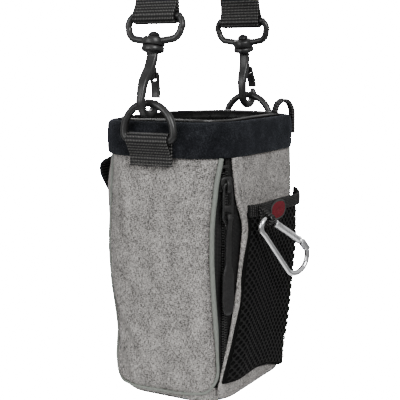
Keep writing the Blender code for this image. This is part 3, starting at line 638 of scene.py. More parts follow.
MELANGE = (melange(), "melange")
WELT = (melange("melange_welt", 0.06, 0.48), "melange")
VELOUR = (velour(), "velour")
# the webbing materials carry painted highlights on their rib crests
WEB = (webbing(), "webbing")
WEB_TAPE = (webbing("zip_tape", 0.30, 0.7, 0.9), "webbing")
WEB_BAND = (webbing("binding", 0.55, 0.9, 1.5), "webbing")
LINING = (lining(), "lining")
PIPING = (piping(), "piping")
NET = (grained("netting", 0.7, (2.6, 3.0, 0.65), [(0.3, grey(0.004)), (0.55, grey(0.008)),
                                                  (0.8, grey(0.016, 0.02))],
               relief=(0.8, 0.16 * MM), Specular_IOR_Level=0.2), "mesh")
# painted shade: a near-black, dull sheet that stands for the shade inside the net pocket
POCKET_SHADE_SHEET = (moulded("pocket_shade_sheet", 0.004, 0.9, 0.05), "mesh")
PLASTIC = (moulded(), "plastic")
GUNMETAL = (gunmetal(), "gunmetal")
STEEL = (grained("polished_steel", 0.09, (0.6, 4.0), [(0.3, (0.74, 0.75, 0.77)), (0.7, (0.86, 0.86, 0.87))],
                 [(0.35, 0.06), (0.75, 0.16)], metallic=1.0), "steel")
SATIN = (grained("satin_steel", 0.28, (0.8, 4.0), [(0.3, (0.70, 0.71, 0.72)), (0.7, (0.80, 0.80, 0.81))],
                 [(0.3, 0.22), (0.7, 0.36)], metallic=1.0), "steel")
LABEL = (label_cloth(), "label")
THREAD_GREY = (thread("thread_grey", 0.10, 0.22), "piping")
THREAD_BLACK = (thread("thread_black", 0.012, 0.035), "webbing")


# ------------------------------------------------------------------ camera and light
def make_camera():
    data = bpy.data.cameras.new("camera")
    data.sensor_width = 36.0
    data.lens = FOCAL_PIXELS / IMAGE_PIXELS * data.sensor_width
    camera = bpy.data.objects.new("camera", data)
    bpy.context.collection.objects.link(camera)
    heading = Matrix.Rotation(-math.radians(CAMERA_HEADING), 4, "Z")
    pitch = Matrix.Rotation(math.radians(90 + CAMERA_PITCH), 4, "X")
    roll = Matrix.Rotation(math.radians(CAMERA_ROLL), 4, "Z")
    camera.matrix_world = Matrix.Translation(CAMERA_AT) @ heading @ pitch @ roll
    bpy.context.scene.camera = camera


def area_light(name, place, target, size, power):
    data = bpy.data.lights.new(name, "AREA")
    data.shape = "DISK"
    data.size = size
    data.energy = power
    light = bpy.data.objects.new(name, data)
    bpy.context.collection.objects.link(light)
    light.location = place
    light.rotation_euler = (Vector(target) - Vector(place)).to_track_quat("-Z", "Y").to_euler()


def make_light():
    """White studio: bright above, dim near and below the horizon, plain white behind the object."""
    world = bpy.data.worlds.new("studio")
    world.use_nodes = True
    tree = world.node_tree
    nodes, links = tree.nodes, tree.links
    place = nodes.new("ShaderNodeTexCoord")
    split = nodes.new("ShaderNodeSeparateXYZ")
    links.new(place.outputs["Generated"], split.inputs[0])
    spread = nodes.new("ShaderNodeMapRange")
    spread.inputs["From Min"].default_value = -1.0
    links.new(split.outputs["Z"], spread.inputs["Value"])
    ramp = nodes.new("ShaderNodeValToRGB")
    links.new(spread.outputs["Result"], ramp.inputs["Fac"])
    stops = [(0.0, 0.55), (0.42, 0.30), (0.50, 0.35), (0.60, 0.95), (0.78, 0.55), (1.0, 1.0)]
    set_stops(ramp.color_ramp, [(at, grey(level)) for at, level in stops])
    seen = nodes.new("ShaderNodeLightPath")
    around = nodes["Background"]
    links.new(ramp.outputs["Color"], around.inputs["Color"])
    around.inputs["Strength"].default_value = WORLD_LIGHT
    behind = nodes.new("ShaderNodeBackground")
    behind.inputs["Strength"].default_value = WHITE_BEHIND
    either = nodes.new("ShaderNodeMixShader")
    links.new(seen.outputs["Is Camera Ray"], either.inputs["Fac"])
    links.new(around.outputs[0], either.inputs[1])
    links.new(behind.outputs[0], either.inputs[2])
    links.new(either.outputs[0], nodes["World Output"].inputs["Surface"])
    bpy.context.scene.world = world
    middle = (0, 0, BASE_Z + 0.09)
    area_light("key", (-0.70, -0.95, 0.45), middle, 0.5, 13.0)
    area_light("fill", (-1.1, 0.35, 0.1), middle, 0.8, 7.0)
    area_light("rim", (0.6, 0.7, 0.6), middle, 0.6, 4.0)


def make_floor():
    """Round pale floor below the hanging pouch, just out of the main view."""
    below, radius, steps = 0.16, 0.30, 96
    turns = [2 * math.pi * i / steps for i in range(steps)]
    mesh = bpy.data.meshes.new("floor")
    mesh.from_pydata([(radius * math.cos(t), radius * math.sin(t), BASE_Z - below) for t in turns], [],
                     [list(range(steps))])
    look = Look("pale_floor", 0.9)
    look.colour(look.noise(look.space(), 0.02), [(0.3, grey(0.86)), (0.7, grey(0.92))])
    mesh.materials.append(look.mat)
    floor = bpy.data.objects.new("floor", mesh)
    bpy.context.collection.objects.link(floor)


# ------------------------------------------------------------------ carry loop
def hook_frame(side):
    """Matrix at the ring's wire: X away from the pouch's middle on both sides, Z up the hook."""
    lean = Matrix.Rotation(-side * HOOK_LEAN, 4, "Y")
    return Matrix.Translation((side * RING_X, 0, RING_TOP_Z + BASE_Z)) @ lean


def strap_line():
    """Middle of the webbing, from the sewn end beside the -X eye to the one beside the +X eye."""
    wrap = EYE_WIRE_R + GAP + STRAP_T / 2
    half = (STRAP_T + GAP) / 2
    pinch = EYE_HIGH + 7.5 * MM
    leg = [(half, EYE_HIGH + STRAP_DOUBLE), (half, pinch), *arc((0, EYE_HIGH), wrap, 28, -208, 10),
           (-half, pinch), (-half, EYE_HIGH + STRAP_DOUBLE + 1 * MM)]
    left = [hook_frame(-1) @ Vector((x, 0, z)) for x, z in leg]
    start = left[-1]
    radius = -start.x / math.cos(HOOK_LEAN)
    centre_z = start.z - radius * math.sin(HOOK_LEAN)
    first = math.pi - HOOK_LEAN
    over = [first - (first - math.pi / 2) * i / 12 for i in range(1, 13)]
    left += [Vector((radius * math.cos(t), 0, centre_z + radius * math.sin(t))) for t in over]
    right = [Vector((-p.x, 0, p.z)) for p in reversed(left[:-1])]
    return np.array([tuple(p) for p in left + right])


def ribbed(name, path, width, thick, look, body, across=(0, 1, 0), rib=RIB, depth=0.22 * MM, columns=10):
    """Webbing with cross ribs along a path that stays in one plane across the width."""
    across = np.array(across, dtype=float)
    along = np.gradient(path, axis=0)
    along /= np.linalg.norm(along, axis=1)[:, None]
    out = np.cross(along, across)
    out /= np.linalg.norm(out, axis=1)[:, None]
    gone = run_along(path)
    rib_height = np.abs(np.sin(math.pi * gone / rib))
    edge = thick / 2
    flat = np.linspace(-1, 1, columns + 1) * (width / 2 - edge)
    cap = [(width / 2 - edge + edge * math.cos(t), edge * math.sin(t)) for t in np.radians([50, 0, -50])]
    section = [(y, edge) for y in flat] + cap
    section += [(y, -edge) for y in flat[::-1]] + [(-a, -b) for a, b in cap]
    section = np.array(section)
    sign = np.sign(np.round(section[:, 1], 6))
    push = (rib_height[:, None] - 0.5) * depth * sign[None, :]
    points = (path[:, None, :] + across * section[None, :, :1] + out[:, None, :] * section[None, :, 1:]
              + out[:, None, :] * push[..., None])
    uv_v = np.concatenate([section[:, 0], section[:1, 0]])
    uv = np.stack(np.meshgrid(gone, uv_v, indexing="ij"), -1)
    return grid(name, points, look, body, uv=uv, wrap_v=True, caps=True)


def make_strap():
    """Carry loop of doubled webbing, lying taut."""
    line = strap_line()
    path = spline(line, RIB / 4)
    strap = ribbed("strap_webbing_visual", path, WEBBING, STRAP_T, WEB, "strap")
    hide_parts("strap_webbing")


# ------------------------------------------------------------------ eyes, hooks and rings
def make_eye(side, word):
    frame_at = hook_frame(side)
    round_r = 6.0 * MM
    low_corner = (EYE_HALF - round_r - 0.6 * MM, EYE_LOW + round_r + 0.7 * MM)
    high_corner = [(EYE_BAR + (EYE_HALF - EYE_BAR) * c, EYE_HIGH - round_r + round_r * s)
                   for c, s in arc((0, 0), 1.0, 8, 90, 4)]
    right = [(BOSS_R - 2.4 * MM, EYE_LOW - 0.2 * MM), *arc(low_corner, round_r, -70, 0, 4), *high_corner]
    ring = right + [(-y, z) for y, z in reversed(right)]
    path = spline([(0, y, z) for y, z in ring], 0.7 * MM)
    wire = sweep("eye", path, circle(EYE_WIRE_R, 18), GUNMETAL, "strap", (1, 0, 0), matrix=frame_at)
    soft_edge = 0.6 * MM
    profile = [(2.35 * MM, BOSS_LOW), (BOSS_R - soft_edge, BOSS_LOW),
               (BOSS_R - 0.2 * MM, BOSS_LOW + 0.2 * MM), (BOSS_R, BOSS_LOW + soft_edge),
               (BOSS_R, BOSS_HIGH - 1.3 * MM),
               (BOSS_R - 0.3 * MM, BOSS_HIGH - 0.7 * MM), (BOSS_R - 1.1 * MM, BOSS_HIGH - 0.2 * MM),
               (4.0 * MM, BOSS_HIGH), (2.35 * MM, BOSS_HIGH), (2.35 * MM, BOSS_LOW)]
    boss = grid("boss", placed(turned(profile), frame_at), GUNMETAL, "strap", wrap_v=True, sharp=40)
    eye = joined("swivel_eye_visual_" + word, [wire, boss])
    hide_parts("swivel_eye_" + word)


def hook_spine():
    """Middle line of a hook from its swivel down and round the throat, in its own frame."""
    r = THROAT_R + HOOK_T / 2
    points = [(0, FLANGE_LOW + 1 * MM), (0, 23 * MM), (-1.6 * MM, 17.5 * MM), (-r + 1.0 * MM, 9.5 * MM),
              *arc((0, THROAT_UP), r, 180, 350, 10), (r + 0.1 * MM, THROAT_UP + 1.4 * MM)]
    return [(x, 0, z) for x, z in points]


CHEEK_OUT = 1.95 * MM           # middle of the gate's cheeks beside the pin's lug
GATE_LINE_SHARES = (0.36, 0.42)    # the tongue starts at the first, the cheeks end at the second


def make_hook(side, word):
    frame_at = hook_frame(side)
    hook_body, gate_body = "hook_" + word, "gate_" + word

    def metal(name, path, section, body):
        return sweep(name, path, section, GUNMETAL, body, (0, 1, 0), matrix=frame_at)

    spine = spline(hook_spine(), 0.6 * MM)
    gone = np.linspace(0, 1, len(spine))
    widths = np.interp(gone, [0, 0.12, 0.25, 0.42, 0.55, 1.0], np.array([6.2, 6.0, 5.5, 4.8, 4.1, 4.0]) * MM)
    thick = np.interp(gone, [0, 0.3, 0.93, 0.985, 1.0],
                      np.array([3.4, HOOK_T / MM, HOOK_T / MM, 3.2, 2.0]) * MM)
    widths = widths * np.interp(gone, [0, 0.95, 1.0], [1.0, 1.0, 0.6])
    shank = metal("hook", spine, lambda i: slab(thick[i], widths[i], 1.25 * MM), hook_body)
    post = [(0.01 * MM, FLANGE_LOW - 1.6 * MM), (2.6 * MM, FLANGE_LOW - 1.4 * MM),
            (3.4 * MM, FLANGE_LOW - 0.6 * MM), (SWIVEL_R - 1.0 * MM, FLANGE_LOW),
            (SWIVEL_R - 0.2 * MM, FLANGE_LOW + 0.3 * MM), (SWIVEL_R, FLANGE_LOW + 0.9 * MM),
            (SWIVEL_R, FLANGE_HIGH - 0.6 * MM), (SWIVEL_R - 0.4 * MM, FLANGE_HIGH - 0.1 * MM),
            (SWIVEL_R - 1.0 * MM, FLANGE_HIGH), (2.0 * MM, FLANGE_HIGH), (2.0 * MM, BOSS_HIGH + GAP),
            (3.0 * MM, BOSS_HIGH + GAP), (3.2 * MM, BOSS_HIGH + 0.7 * MM), (2.8 * MM, BOSS_HIGH + 1.6 * MM),
            (1.8 * MM, BOSS_HIGH + 2.4 * MM), (0.7 * MM, BOSS_HIGH + 2.8 * MM),
            (0.01 * MM, BOSS_HIGH + 2.85 * MM)]
    swivel = lathe("post", post, GUNMETAL, hook_body, frame_at)
    lug_path = spline([(-0.6 * MM, 0, 20.4 * MM), (2.2 * MM, 0, 17.4 * MM), (PIVOT[0], 0, PIVOT[1]),
                       (PIVOT[0] + 0.6 * MM, 0, PIVOT[1] - 1.7 * MM)], 0.5 * MM)
    lug = metal("lug", lug_path, slab(3.4 * MM, 2.2 * MM, 0.6 * MM), hook_body)
    hook = joined("snap_hook_visual_" + word, [shank, swivel, lug])
    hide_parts("snap_hook_" + word)

    tip = hook_spine()[-1]
    gate_line = spline([(PIVOT[0] - 0.3 * MM, 0, PIVOT[1] + 1.6 * MM), (PIVOT[0], 0, PIVOT[1]),
                        (tip[0] - 0.7 * MM, 0, tip[2] + 5 * MM), (tip[0] - 0.2 * MM, 0, tip[2] + 1.2 * MM)],
                       0.5 * MM)
    lower = gate_line[int(len(gate_line) * GATE_LINE_SHARES[0]):]
    upper = gate_line[: int(len(gate_line) * GATE_LINE_SHARES[1])]
    tongue = metal("tongue", lower, slab(2.4 * MM, 4.8 * MM, 0.8 * MM), gate_body)
    cheeks = [metal("cheek", upper + np.array([0, offset, 0]), slab(2.4 * MM, 0.9 * MM, 0.3 * MM), gate_body)
              for offset in (-CHEEK_OUT, CHEEK_OUT)]
    gate = joined("hook_gate_visual_" + word, [tongue, *cheeks])
    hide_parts("hook_gate_" + word)

    pin_profile = np.array([(0.01, -2.75), (0.75, -2.7), (1.05, -2.45), (0.7, -2.4),
                            (0.7, 2.4), (1.05, 2.45), (0.75, 2.7), (0.01, 2.75)]) * MM
    pin_place = frame_at @ pin_at((PIVOT[0], 0, PIVOT[1]))
    pin = lathe("gate_pin_visual_" + word, pin_profile, GUNMETAL, hook_body, pin_place)
    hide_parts("gate_pin_" + word)


def make_ring(side, word):
    corner = 3 * MM
    points = [*arc((-RING_HALF + corner, corner), corner, 270, 180, 6),
              *arc((0, RING_LEG), RING_HALF, 180, 0, 40),
              *arc((RING_HALF - corner, corner), corner, 0, -90, 6)]
    bar = [(y, 0) for y in np.linspace(RING_HALF - corner, -RING_HALF + corner, 14)[1:-1]]
    path = [(side * RING_X, y, BAR_Z + BASE_Z + z) for y, z in points + bar]
    ring = sweep("d_ring_visual_" + word, path, circle(WIRE_R, 20), GUNMETAL, "ring_" + word, (1, 0, 0),
                 closed=True)
    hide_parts("d_ring_" + word)


def make_ring_tab(side, word):
    inner = HALF_W + BAND_OUT + 2 * GAP + TAB_T / 2
    wrap = RING_X - inner
    path = [(inner, TAB_LOW), (inner, BAR_Z - 6 * MM), (inner, BAR_Z - 1 * MM),
            *arc((RING_X, BAR_Z), wrap, 165, -25, 9),
            (inner + TAB_T + 0.7 * MM, BAR_Z - 7.5 * MM), (inner + TAB_T + 0.3 * MM, BAR_Z - 10 * MM),
            (inner + TAB_T + 0.3 * MM, TAB_LOW)]
    line = spline([(side * x, 0, z + BASE_Z) for x, z in path], RIB / 4)
    tab = ribbed("ring_tab_visual_" + word, line, WEBBING - 0.2 * MM, TAB_T, WEB, "pouch")
    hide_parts("ring_tab_" + word)
    x = side * (inner + TAB_T * 1.5 + 0.32 * MM)
    low, high, half = TAB_LOW + 1.6 * MM, TAB_LOW + 6.4 * MM, WEBBING / 2 - 2.2 * MM
    corners = [(-half, low), (half, low), (half, high), (-half, high), (-half, low)]
    sew("tab_stitches_" + word, [[(x, y, z + BASE_Z) for y, z in corners]], THREAD_BLACK, (side, 0, 0))


# ------------------------------------------------------------------ stitches
STITCH, STITCH_PITCH, STITCH_R = 1.9 * MM, 2.7 * MM, 0.2 * MM
# share of the stitch's length, lift and size in thread radii
STITCH_RINGS = ((0, -0.9, 0.5), (0.12, 0.1, 0.9), (0.5, 0.5, 1.0), (0.88, 0.1, 0.9), (1, -0.9, 0.5))


def stitch_mesh(bm, start, end, normal):
    """One stitch: a short thread that dives into the fabric at both ends."""
    start, end, normal = Vector(start), Vector(end), Vector(normal)
    along = end - start
    side = along.normalized().cross(normal).normalized()
    rings = []
    for t, lift, size in STITCH_RINGS:
        centre = start + along * t + normal * (lift * STITCH_R)
        rings.append([bm.verts.new(centre + (side * math.cos(a) + normal * math.sin(a)) * STITCH_R * size)
                      for a in (i * math.pi / 3 for i in range(6))])
    for a, b in zip(rings, rings[1:]):
        for i in range(6):
            bm.faces.new((a[i], a[(i + 1) % 6], b[(i + 1) % 6], b[i]))
    bm.faces.new(rings[0][::-1])
    bm.faces.new(rings[-1])


def sew(name, lines, look, normals):
    """Stitches along polylines; normals is one direction, or one array per line."""
    bm = bmesh.new()
    for k, line in enumerate(lines):
        line = np.array(line, dtype=float)
        gone = run_along(line)
        count = int(gone[-1] / STITCH_PITCH)
        for i in range(count):
            a, b = i * STITCH_PITCH, i * STITCH_PITCH + STITCH
            start, end = ([np.interp(t, gone, line[:, c]) for c in range(3)] for t in (a, b))
            if isinstance(normals, tuple):
                normal = normals
            else:
                normal = [np.interp((a + b) / 2, gone, normals[k][:, c]) for c in range(3)]
            stitch_mesh(bm, start, end, normal)
    mesh = mesh_of(name, bm)
    tidy(mesh)
    link(name, mesh, look, "pouch")


def on_surface(tree, s, z):
    """Points where straight lines into the wall at (s, z) meet the search tree, and their normals."""
    far = wall(s, z, 12 * MM)
    normals = outline(s)[1]
    hits = []
    for start, normal, fallback in zip(far, normals, wall(s, z, GAP)):
        hit = tree.ray_cast(Vector(start), -Vector(normal), 20 * MM)[0]
        hits.append(tuple(hit) if hit else tuple(fallback))
    return np.array(hits), normals


def sew_on(name, tree, routes):
    """Stitches over the shown surface, along routes of (s, z) arrays."""
    lines, normals = [], []
    for s, z in routes:
        line, out = on_surface(tree, s, z)
        lines.append(line + out * STITCH_R * 0.35)
        normals.append(out)
    sew(name, lines, THREAD_GREY, normals)


# ------------------------------------------------------------------ body panels
U_HIGH, U_WIDE, FOOT = 13 * MM, 9 * MM, 7 * MM
# sideways place of the front seam beside the zip, at heights above the base
BOW_Z = np.array([7, 20, 35, 50, 64, 78, 95, 104, 112, 120, 126, 134]) * MM
BOW_S = np.array([1.8, 1.6, 0.9, -0.2, -1.1, -1.7, -1.6, -0.9, 0.1, 0.9, 2.2, 3.6]) * MM


def front_seam(side, z):
    """Place of a front seam: the one beside the zip bows, pulled by it."""
    return side * SEAM_FRONT + (np.interp(z, BOW_Z, BOW_S) if side < 0 else 0 * np.asarray(z))


def u_edge(z):
    """How far the round lower corner of a side panel leaves its seam at the height z."""
    t = np.arcsin(np.clip(1 - (z - FOOT) / U_HIGH, 0, 1))
    return U_WIDE * (1 - np.cos(t))


def behind_pocket(s, z):
    """1 where the net pocket lies over the front panel, 0 elsewhere."""
    inside = smooth((s + SEAM_FRONT - 4 * MM) / (6 * MM)) * smooth((SEAM_FRONT - s) / (6 * MM))
    return inside * smooth((POCKET_HIGH + 6 * MM - z) / (16 * MM)) * smooth((z - 6 * MM) / (8 * MM))


# the cloth runs at a larger scale, which suits the solver, and how far a point may move is capped
CLOTH_SCALE, CLOTH_FRAMES, CLOTH_GROWS = 20.0, 22, 0.035
CAP_IN, CAP_OUT, CAP_ALONG = 1.0 * MM, 2.4 * MM, 1.2 * MM
CLOTH_SETTINGS = {"vertex_group_mass": "held", "quality": 6, "mass": 0.2, "tension_stiffness": 25,
                  "compression_stiffness": 12, "shear_stiffness": 8, "bending_stiffness": 1.2,
                  "shrink_min": -CLOTH_GROWS, "use_pressure": True, "uniform_pressure_force": 0.6}


def relax(obj, n, m):
    """Lets a panel of fabric buckle between its seams: an n by m grid, held along its borders."""
    sim = obj.copy()
    sim.data = obj.data.copy()
    sim.name = "cloth_run"
    sim.modifiers.clear()
    bpy.context.collection.objects.link(sim)
    rest = np.empty(n * m * 3)
    sim.data.vertices.foreach_get("co", rest)
    rest = rest.reshape(n, m, 3)
    centre = rest.mean(axis=(0, 1))
    sim.data.vertices.foreach_set("co", ((rest - centre) * CLOTH_SCALE).ravel())
    border = [i * m + j for i in range(n) for j in range(m) if i in (0, n - 1) or j < 2 or j > m - 4]
    group = sim.vertex_groups.new(name="held")
    group.add(border, 1.0, "REPLACE")
    step = sim.modifiers.new("cloth", "CLOTH")
    for key, value in CLOTH_SETTINGS.items():
        setattr(step.settings, key, value)
    step.collision_settings.use_collision = False
    step.point_cache.frame_start = 1
    step.point_cache.frame_end = CLOTH_FRAMES + 1
    scene = bpy.context.scene
    for f in range(1, CLOTH_FRAMES + 1):
        scene.frame_set(f)
    shown = sim.evaluated_get(bpy.context.evaluated_depsgraph_get()).to_mesh()
    moved = np.empty(n * m * 3)
    shown.vertices.foreach_get("co", moved)
    moved = moved.reshape(n, m, 3) / CLOTH_SCALE + centre
    bpy.data.objects.remove(sim, do_unlink=True)
    scene.frame_set(1)
    normal = np.cross(np.gradient(rest, axis=0), np.gradient(rest, axis=1))
    normal /= np.linalg.norm(normal, axis=2)[..., None]
    shift = moved - rest
    out = (shift * normal).sum(axis=2)
    capped = np.where(out > 0, CAP_OUT * np.tanh(out / CAP_OUT), CAP_IN * np.tanh(out / CAP_IN))
    along = shift - normal * out[..., None]
    size = np.linalg.norm(along, axis=2)[..., None]
    along *= np.minimum(1.0, CAP_ALONG / np.maximum(size, 1e-9))
    result = rest + normal * capped[..., None] + along
    obj.data.vertices.foreach_set("co", result.ravel())
    obj.data.update()


def make_panels():
    top = BAND_Z + 5 * MM
    heights = np.linspace(4.6 * MM, top, 56)

    def tuck(z):
        """Lower edge turned in to meet the base."""
        return -1.6 * MM * (1 - smooth((z - 3.4 * MM) / (7 * MM)))

    def panel(name, edge0, edge1, count, slack):
        start, end = edge0(heights), edge1(heights)
        share = np.linspace(0, 1, count)[:, None]
        s = start[None, :] + (end - start)[None, :] * share
        z = np.broadcast_to(heights, s.shape)
        out = soft(s, z) - 0.75 * (soft(s, z) - sag(s, z)) * behind_pocket(s, z) + tuck(z)
        obj = cloth(name, s, z, out, MELANGE, 1.2 * MM)
        if slack:
            relax(obj, count, len(heights))
        return obj

    inset = -0.3 * MM                # the panels meet under the piping

    def front_edge(side, inset):
        """Edge along a front seam, following the round lower corner of the side panel."""
        return lambda z: front_seam(side, z) + side * (inset + u_edge(z))

    def back_edge(side, inset):
        return lambda z: side * (SEAM_BACK + inset - u_edge(z))

    pieces = {}
    for node, start, end, count, slack in (
            ("side_panel_right", front_edge(1, inset), back_edge(1, -inset), 32, True),
            ("side_panel_left", back_edge(-1, -inset), front_edge(-1, inset), 32, True),
            ("back_panel", back_edge(1, inset), lambda z: AROUND - SEAM_BACK - inset + u_edge(z), 40, True),
            ("front_panel", lambda z: fold_edge(z) + 1.6 * MM, front_edge(1, -inset), 36, False)):
        pieces[node] = panel(node + "_visual", start, end, count, slack)
    for node, piece in pieces.items():
        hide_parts(node)
    return pieces


def make_base():
    """Bottom panel: a shallow dish whose edge turns up inside the walls' lower edges."""
    s = all_round(160)
    rings = [(-1.9, 9.0), (-1.7, 6.5), (-1.5, 4.6), (-1.7, 3.0), (-2.6, 1.6), (-4.2, 0.7), (-6.5, 0.2),
             (-10.0, 0.0), (-16.0, 0.05), (-24.0, 0.3), (-32.0, 0.5)]
    rows = []
    for out, z in rings:
        ripple = 0.25 * body_ripple(s, z * MM) * smooth((z - 0.5) / 3)
        rows.append(wall(s, z * MM, out * MM + ripple))
    rows = np.array(rows)
    centre = rows[-1].mean(axis=0)
    flat = np.array([centre + (rows[-1] - centre) * k for k in (0.6, 0.25, 0.02)])
    points = np.concatenate([rows, flat]).transpose(1, 0, 2)
    closed = np.concatenate([points, points[:1]])
    uv = closed[..., :2].copy()
    skirt = np.broadcast_to(np.concatenate([s, [AROUND / 2]])[:, None], uv.shape[:2])
    high = closed[..., 2] - BASE_Z
    side = high > 0.55 * MM
    uv[..., 0] = np.where(side, skirt, uv[..., 0])
    uv[..., 1] = np.where(side, high, uv[..., 1])
    base = grid("base_panel_visual", points, MELANGE, "pouch", uv=uv, wrap_u=True)
    tidy(base.data)
    thicken(base, 0.9 * MM)
    smooth_more(base)
    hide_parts("base_panel")


def piping_path(side):
    """Line of the cord round a side panel, and 1 where the cord is thin and low."""
    top = BAND_Z - 0.2 * MM
    out = PIPING_R + 0.1 * MM
    bend = [(U_WIDE * (1 - math.cos(t)), FOOT + U_HIGH * (1 - math.sin(t)))
            for t in [math.pi / 2 * i / 8 for i in range(1, 9)]]
    places = [(side * front_seam(side, z), z) for z in np.linspace(top, FOOT + U_HIGH, 24)]
    places += [(side * front_seam(side, z) + a, z) for a, z in bend]
    places += [(s, FOOT - 1.4 * MM * math.sin(math.pi * k)) for k, s in
               zip(np.linspace(0, 1, 24)[1:-1],
                   np.linspace(SEAM_FRONT + U_WIDE, SEAM_BACK - U_WIDE, 24)[1:-1])]
    places += [(SEAM_BACK - a, z) for a, z in reversed(bend)]
    places += [(SEAM_BACK, z) for z in np.linspace(FOOT + U_HIGH, top, 24)]
    s = np.array([p[0] for p in places]) * side
    z = np.array([p[1] for p in places])
    low = smooth((FOOT + 9 * MM - z) / (9 * MM))
    side_wide = SEAM_BACK - SEAM_FRONT
    back = smooth((np.abs(s) - SEAM_FRONT - 0.6 * side_wide) / (0.3 * side_wide))
    return wall(s, z, out + soft(s, z) - 2.0 * MM * low * (1 - back) - 1.3 * MM * back), np.maximum(low, back)


def make_piping():
    for side, word in SIDES:
        points, low = piping_path(side)
        path = spline(points, 1.6 * MM)
        thin = np.interp(np.linspace(0, 1, len(path)), np.linspace(0, 1, len(low)), low)
        radii = PIPING_R * (1 - 0.35 * thin)
        tube = sweep("piping_visual_" + word, path, lambda i: circle(radii[i], 12), PIPING, "pouch",
                     (side, 0.02, 0.01))
        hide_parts("piping_" + word)


# ------------------------------------------------------------------ rim
def make_rim():
    """Padded band turned over the opening, and the bead on its inner edge."""
    s = all_round(220)
    inner = -(WALL + GAP + 0.7 * MM + 0.3 * MM)
    deep = inner - 0.9 * MM
    full = 2.15 * MM
    section = [(1.2, BAND_Z - 0.3 * MM), (full / MM - 0.35, BAND_Z - 0.5 * MM),
               (full / MM, BAND_Z + 0.8 * MM)]
    section += [(full / MM + 0.35 * math.sin(math.pi * k), BAND_Z + k * (RIM_Z - 3.2 * MM - BAND_Z))
                for k in np.linspace(0.12, 0.95, 8)]
    over_middle = (full + deep) / 2
    over_half = (full - deep) / 2
    section += [((over_middle + over_half * math.cos(t)) / MM, RIM_Z - 3.0 * MM + 2.9 * MM * math.sin(t))
                for t in np.radians(np.linspace(8, 172, 12))]
    section += [(deep / MM, z * MM) for z in (145.5, 143, 140.5, 138)]
    section += [((deep + 0.8 * MM) / MM, 138 * MM), (inner / MM + 1.4, 141 * MM), (0.2, 146 * MM),
                (1.0, 140 * MM)]
    wobble = ripples(21, 6, (30 * MM, 70 * MM), (50 * MM, 90 * MM), 0.16 * MM)
    rows = np.array([wall(s, z, out * MM + (wobble(s, z) if out > 0 else 0)) for out, z in section])
    band = grid("rim_band_visual", rows.transpose(1, 0, 2), VELOUR, "pouch", wrap_u=True, wrap_v=True)
    smooth_more(band)
    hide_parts("rim_band")

    bead_r = 0.75 * MM
    centre = deep - 1.2 * MM - bead_r * 0.7
    circle_part = [(centre + bead_r * math.cos(t), RIM_Z + 0.2 * MM + bead_r * math.sin(t))
                   for t in np.radians(np.linspace(-50, 230, 11))]
    flat = [(centre - 0.35 * MM, 147 * MM), (centre - 0.35 * MM, 145 * MM), (centre + 0.35 * MM, 145 * MM),
            (centre + 0.35 * MM, 147 * MM)]
    lift = ripples(23, 4, (40 * MM, 80 * MM), (60 * MM, 90 * MM), 0.10 * MM)
    rows = np.array([wall(s, z + lift(s, 0), out + lift(s, 0.02)) for out, z in circle_part + flat])
    bead = grid("rim_bead_visual", rows.transpose(1, 0, 2), LINING, "pouch", wrap_u=True, wrap_v=True)
    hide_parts("rim_bead")


def make_lining():
    """Loose cup inside the walls, with its floor."""
    s = all_round(160)
    heights = np.linspace(5.2 * MM, LINING_TOP, 40)
    fold = ripples(31, 8, (14 * MM, 40 * MM), (70 * MM, 160 * MM), 0.35 * MM)
    grid_s, grid_z = np.meshgrid(s, heights, indexing="ij")
    hang = smooth((LINING_TOP - grid_z) / (30 * MM)) * smooth((grid_z - 5 * MM) / (12 * MM))
    out = -(WALL + GAP + 0.5 * MM) - hang * (0.9 * MM + np.abs(fold(grid_s, grid_z)))
    walls = wall(grid_s, grid_z, out)
    low = walls[:, :1]
    centre = low.mean(axis=0, keepdims=True)
    floor = [centre + (low - centre) * k for k in (0.02, 0.3, 0.6, 0.85, 0.95)]
    points = np.concatenate([*floor, walls], axis=1)
    obj = grid("lining_visual", points, LINING, "pouch", wrap_u=True)
    thicken(obj, 0.4 * MM, 1)
    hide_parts("lining")


# ------------------------------------------------------------------ zip and its folded edge
# place s of the fold at heights above the base
FOLD_Z = np.array([4, 12, 20, 40, 58, 76, 88, 95, 100, 106, 115, 125, 136]) * MM
FOLD_S = np.array([-43.0, -42.0, -40.0, -34.8, -31.0, -28.0, -25.6, -24.6, -27.0, -30.4, -32.5, -33.8,
                   -35.2]) * MM


def fold_edge(z):
    """Place of the front panel's free, folded edge beside the zip."""
    fine = np.linspace(FOLD_Z[0], FOLD_Z[-1], 67)
    raw = np.interp(fine, FOLD_Z, FOLD_S)
    kernel = np.array([1, 2, 3, 2, 1]) / 9
    padded = np.concatenate([raw[:1], raw[:1], raw, raw[-1:], raw[-1:]])
    return np.interp(z, fine, np.convolve(padded, kernel, "valid"))


def welt_width(z):
    """Width of the folded edge."""
    return np.interp(z, np.array([4, 30, 60, 84, 93, 104, 118, 136]) * MM,
                     np.array([1.2, 1.6, 2.3, 3.0, 4.2, 5.6, 5.0, 4.4]) * MM)


def make_welt():
    heights = np.linspace(6 * MM, BAND_Z + 3 * MM, 70)
    across = np.linspace(0, 1, 9)
    edge, width = fold_edge(heights), welt_width(heights)
    s = edge[None, :] + (width + 2.5 * MM)[None, :] * across[:, None]
    z = np.broadcast_to(heights, s.shape)
    crown = 1.5 * MM * np.sqrt(np.clip(1 - (1 - np.minimum(across * 2.4, 1.0)) ** 2, 0, 1))
    flutter = ripples(41, 5, (20 * MM, 40 * MM), (18 * MM, 50 * MM), 0.16 * MM)
    column = across[:, None]
    out = 0.45 * MM + crown[:, None] * (1 - 0.35 * column) + flutter(s, z) * smooth(column * 2)
    welt = cloth("zip_welt_visual", s, z, out, WELT, 1.1 * MM)
    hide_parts("zip_welt")
    return welt


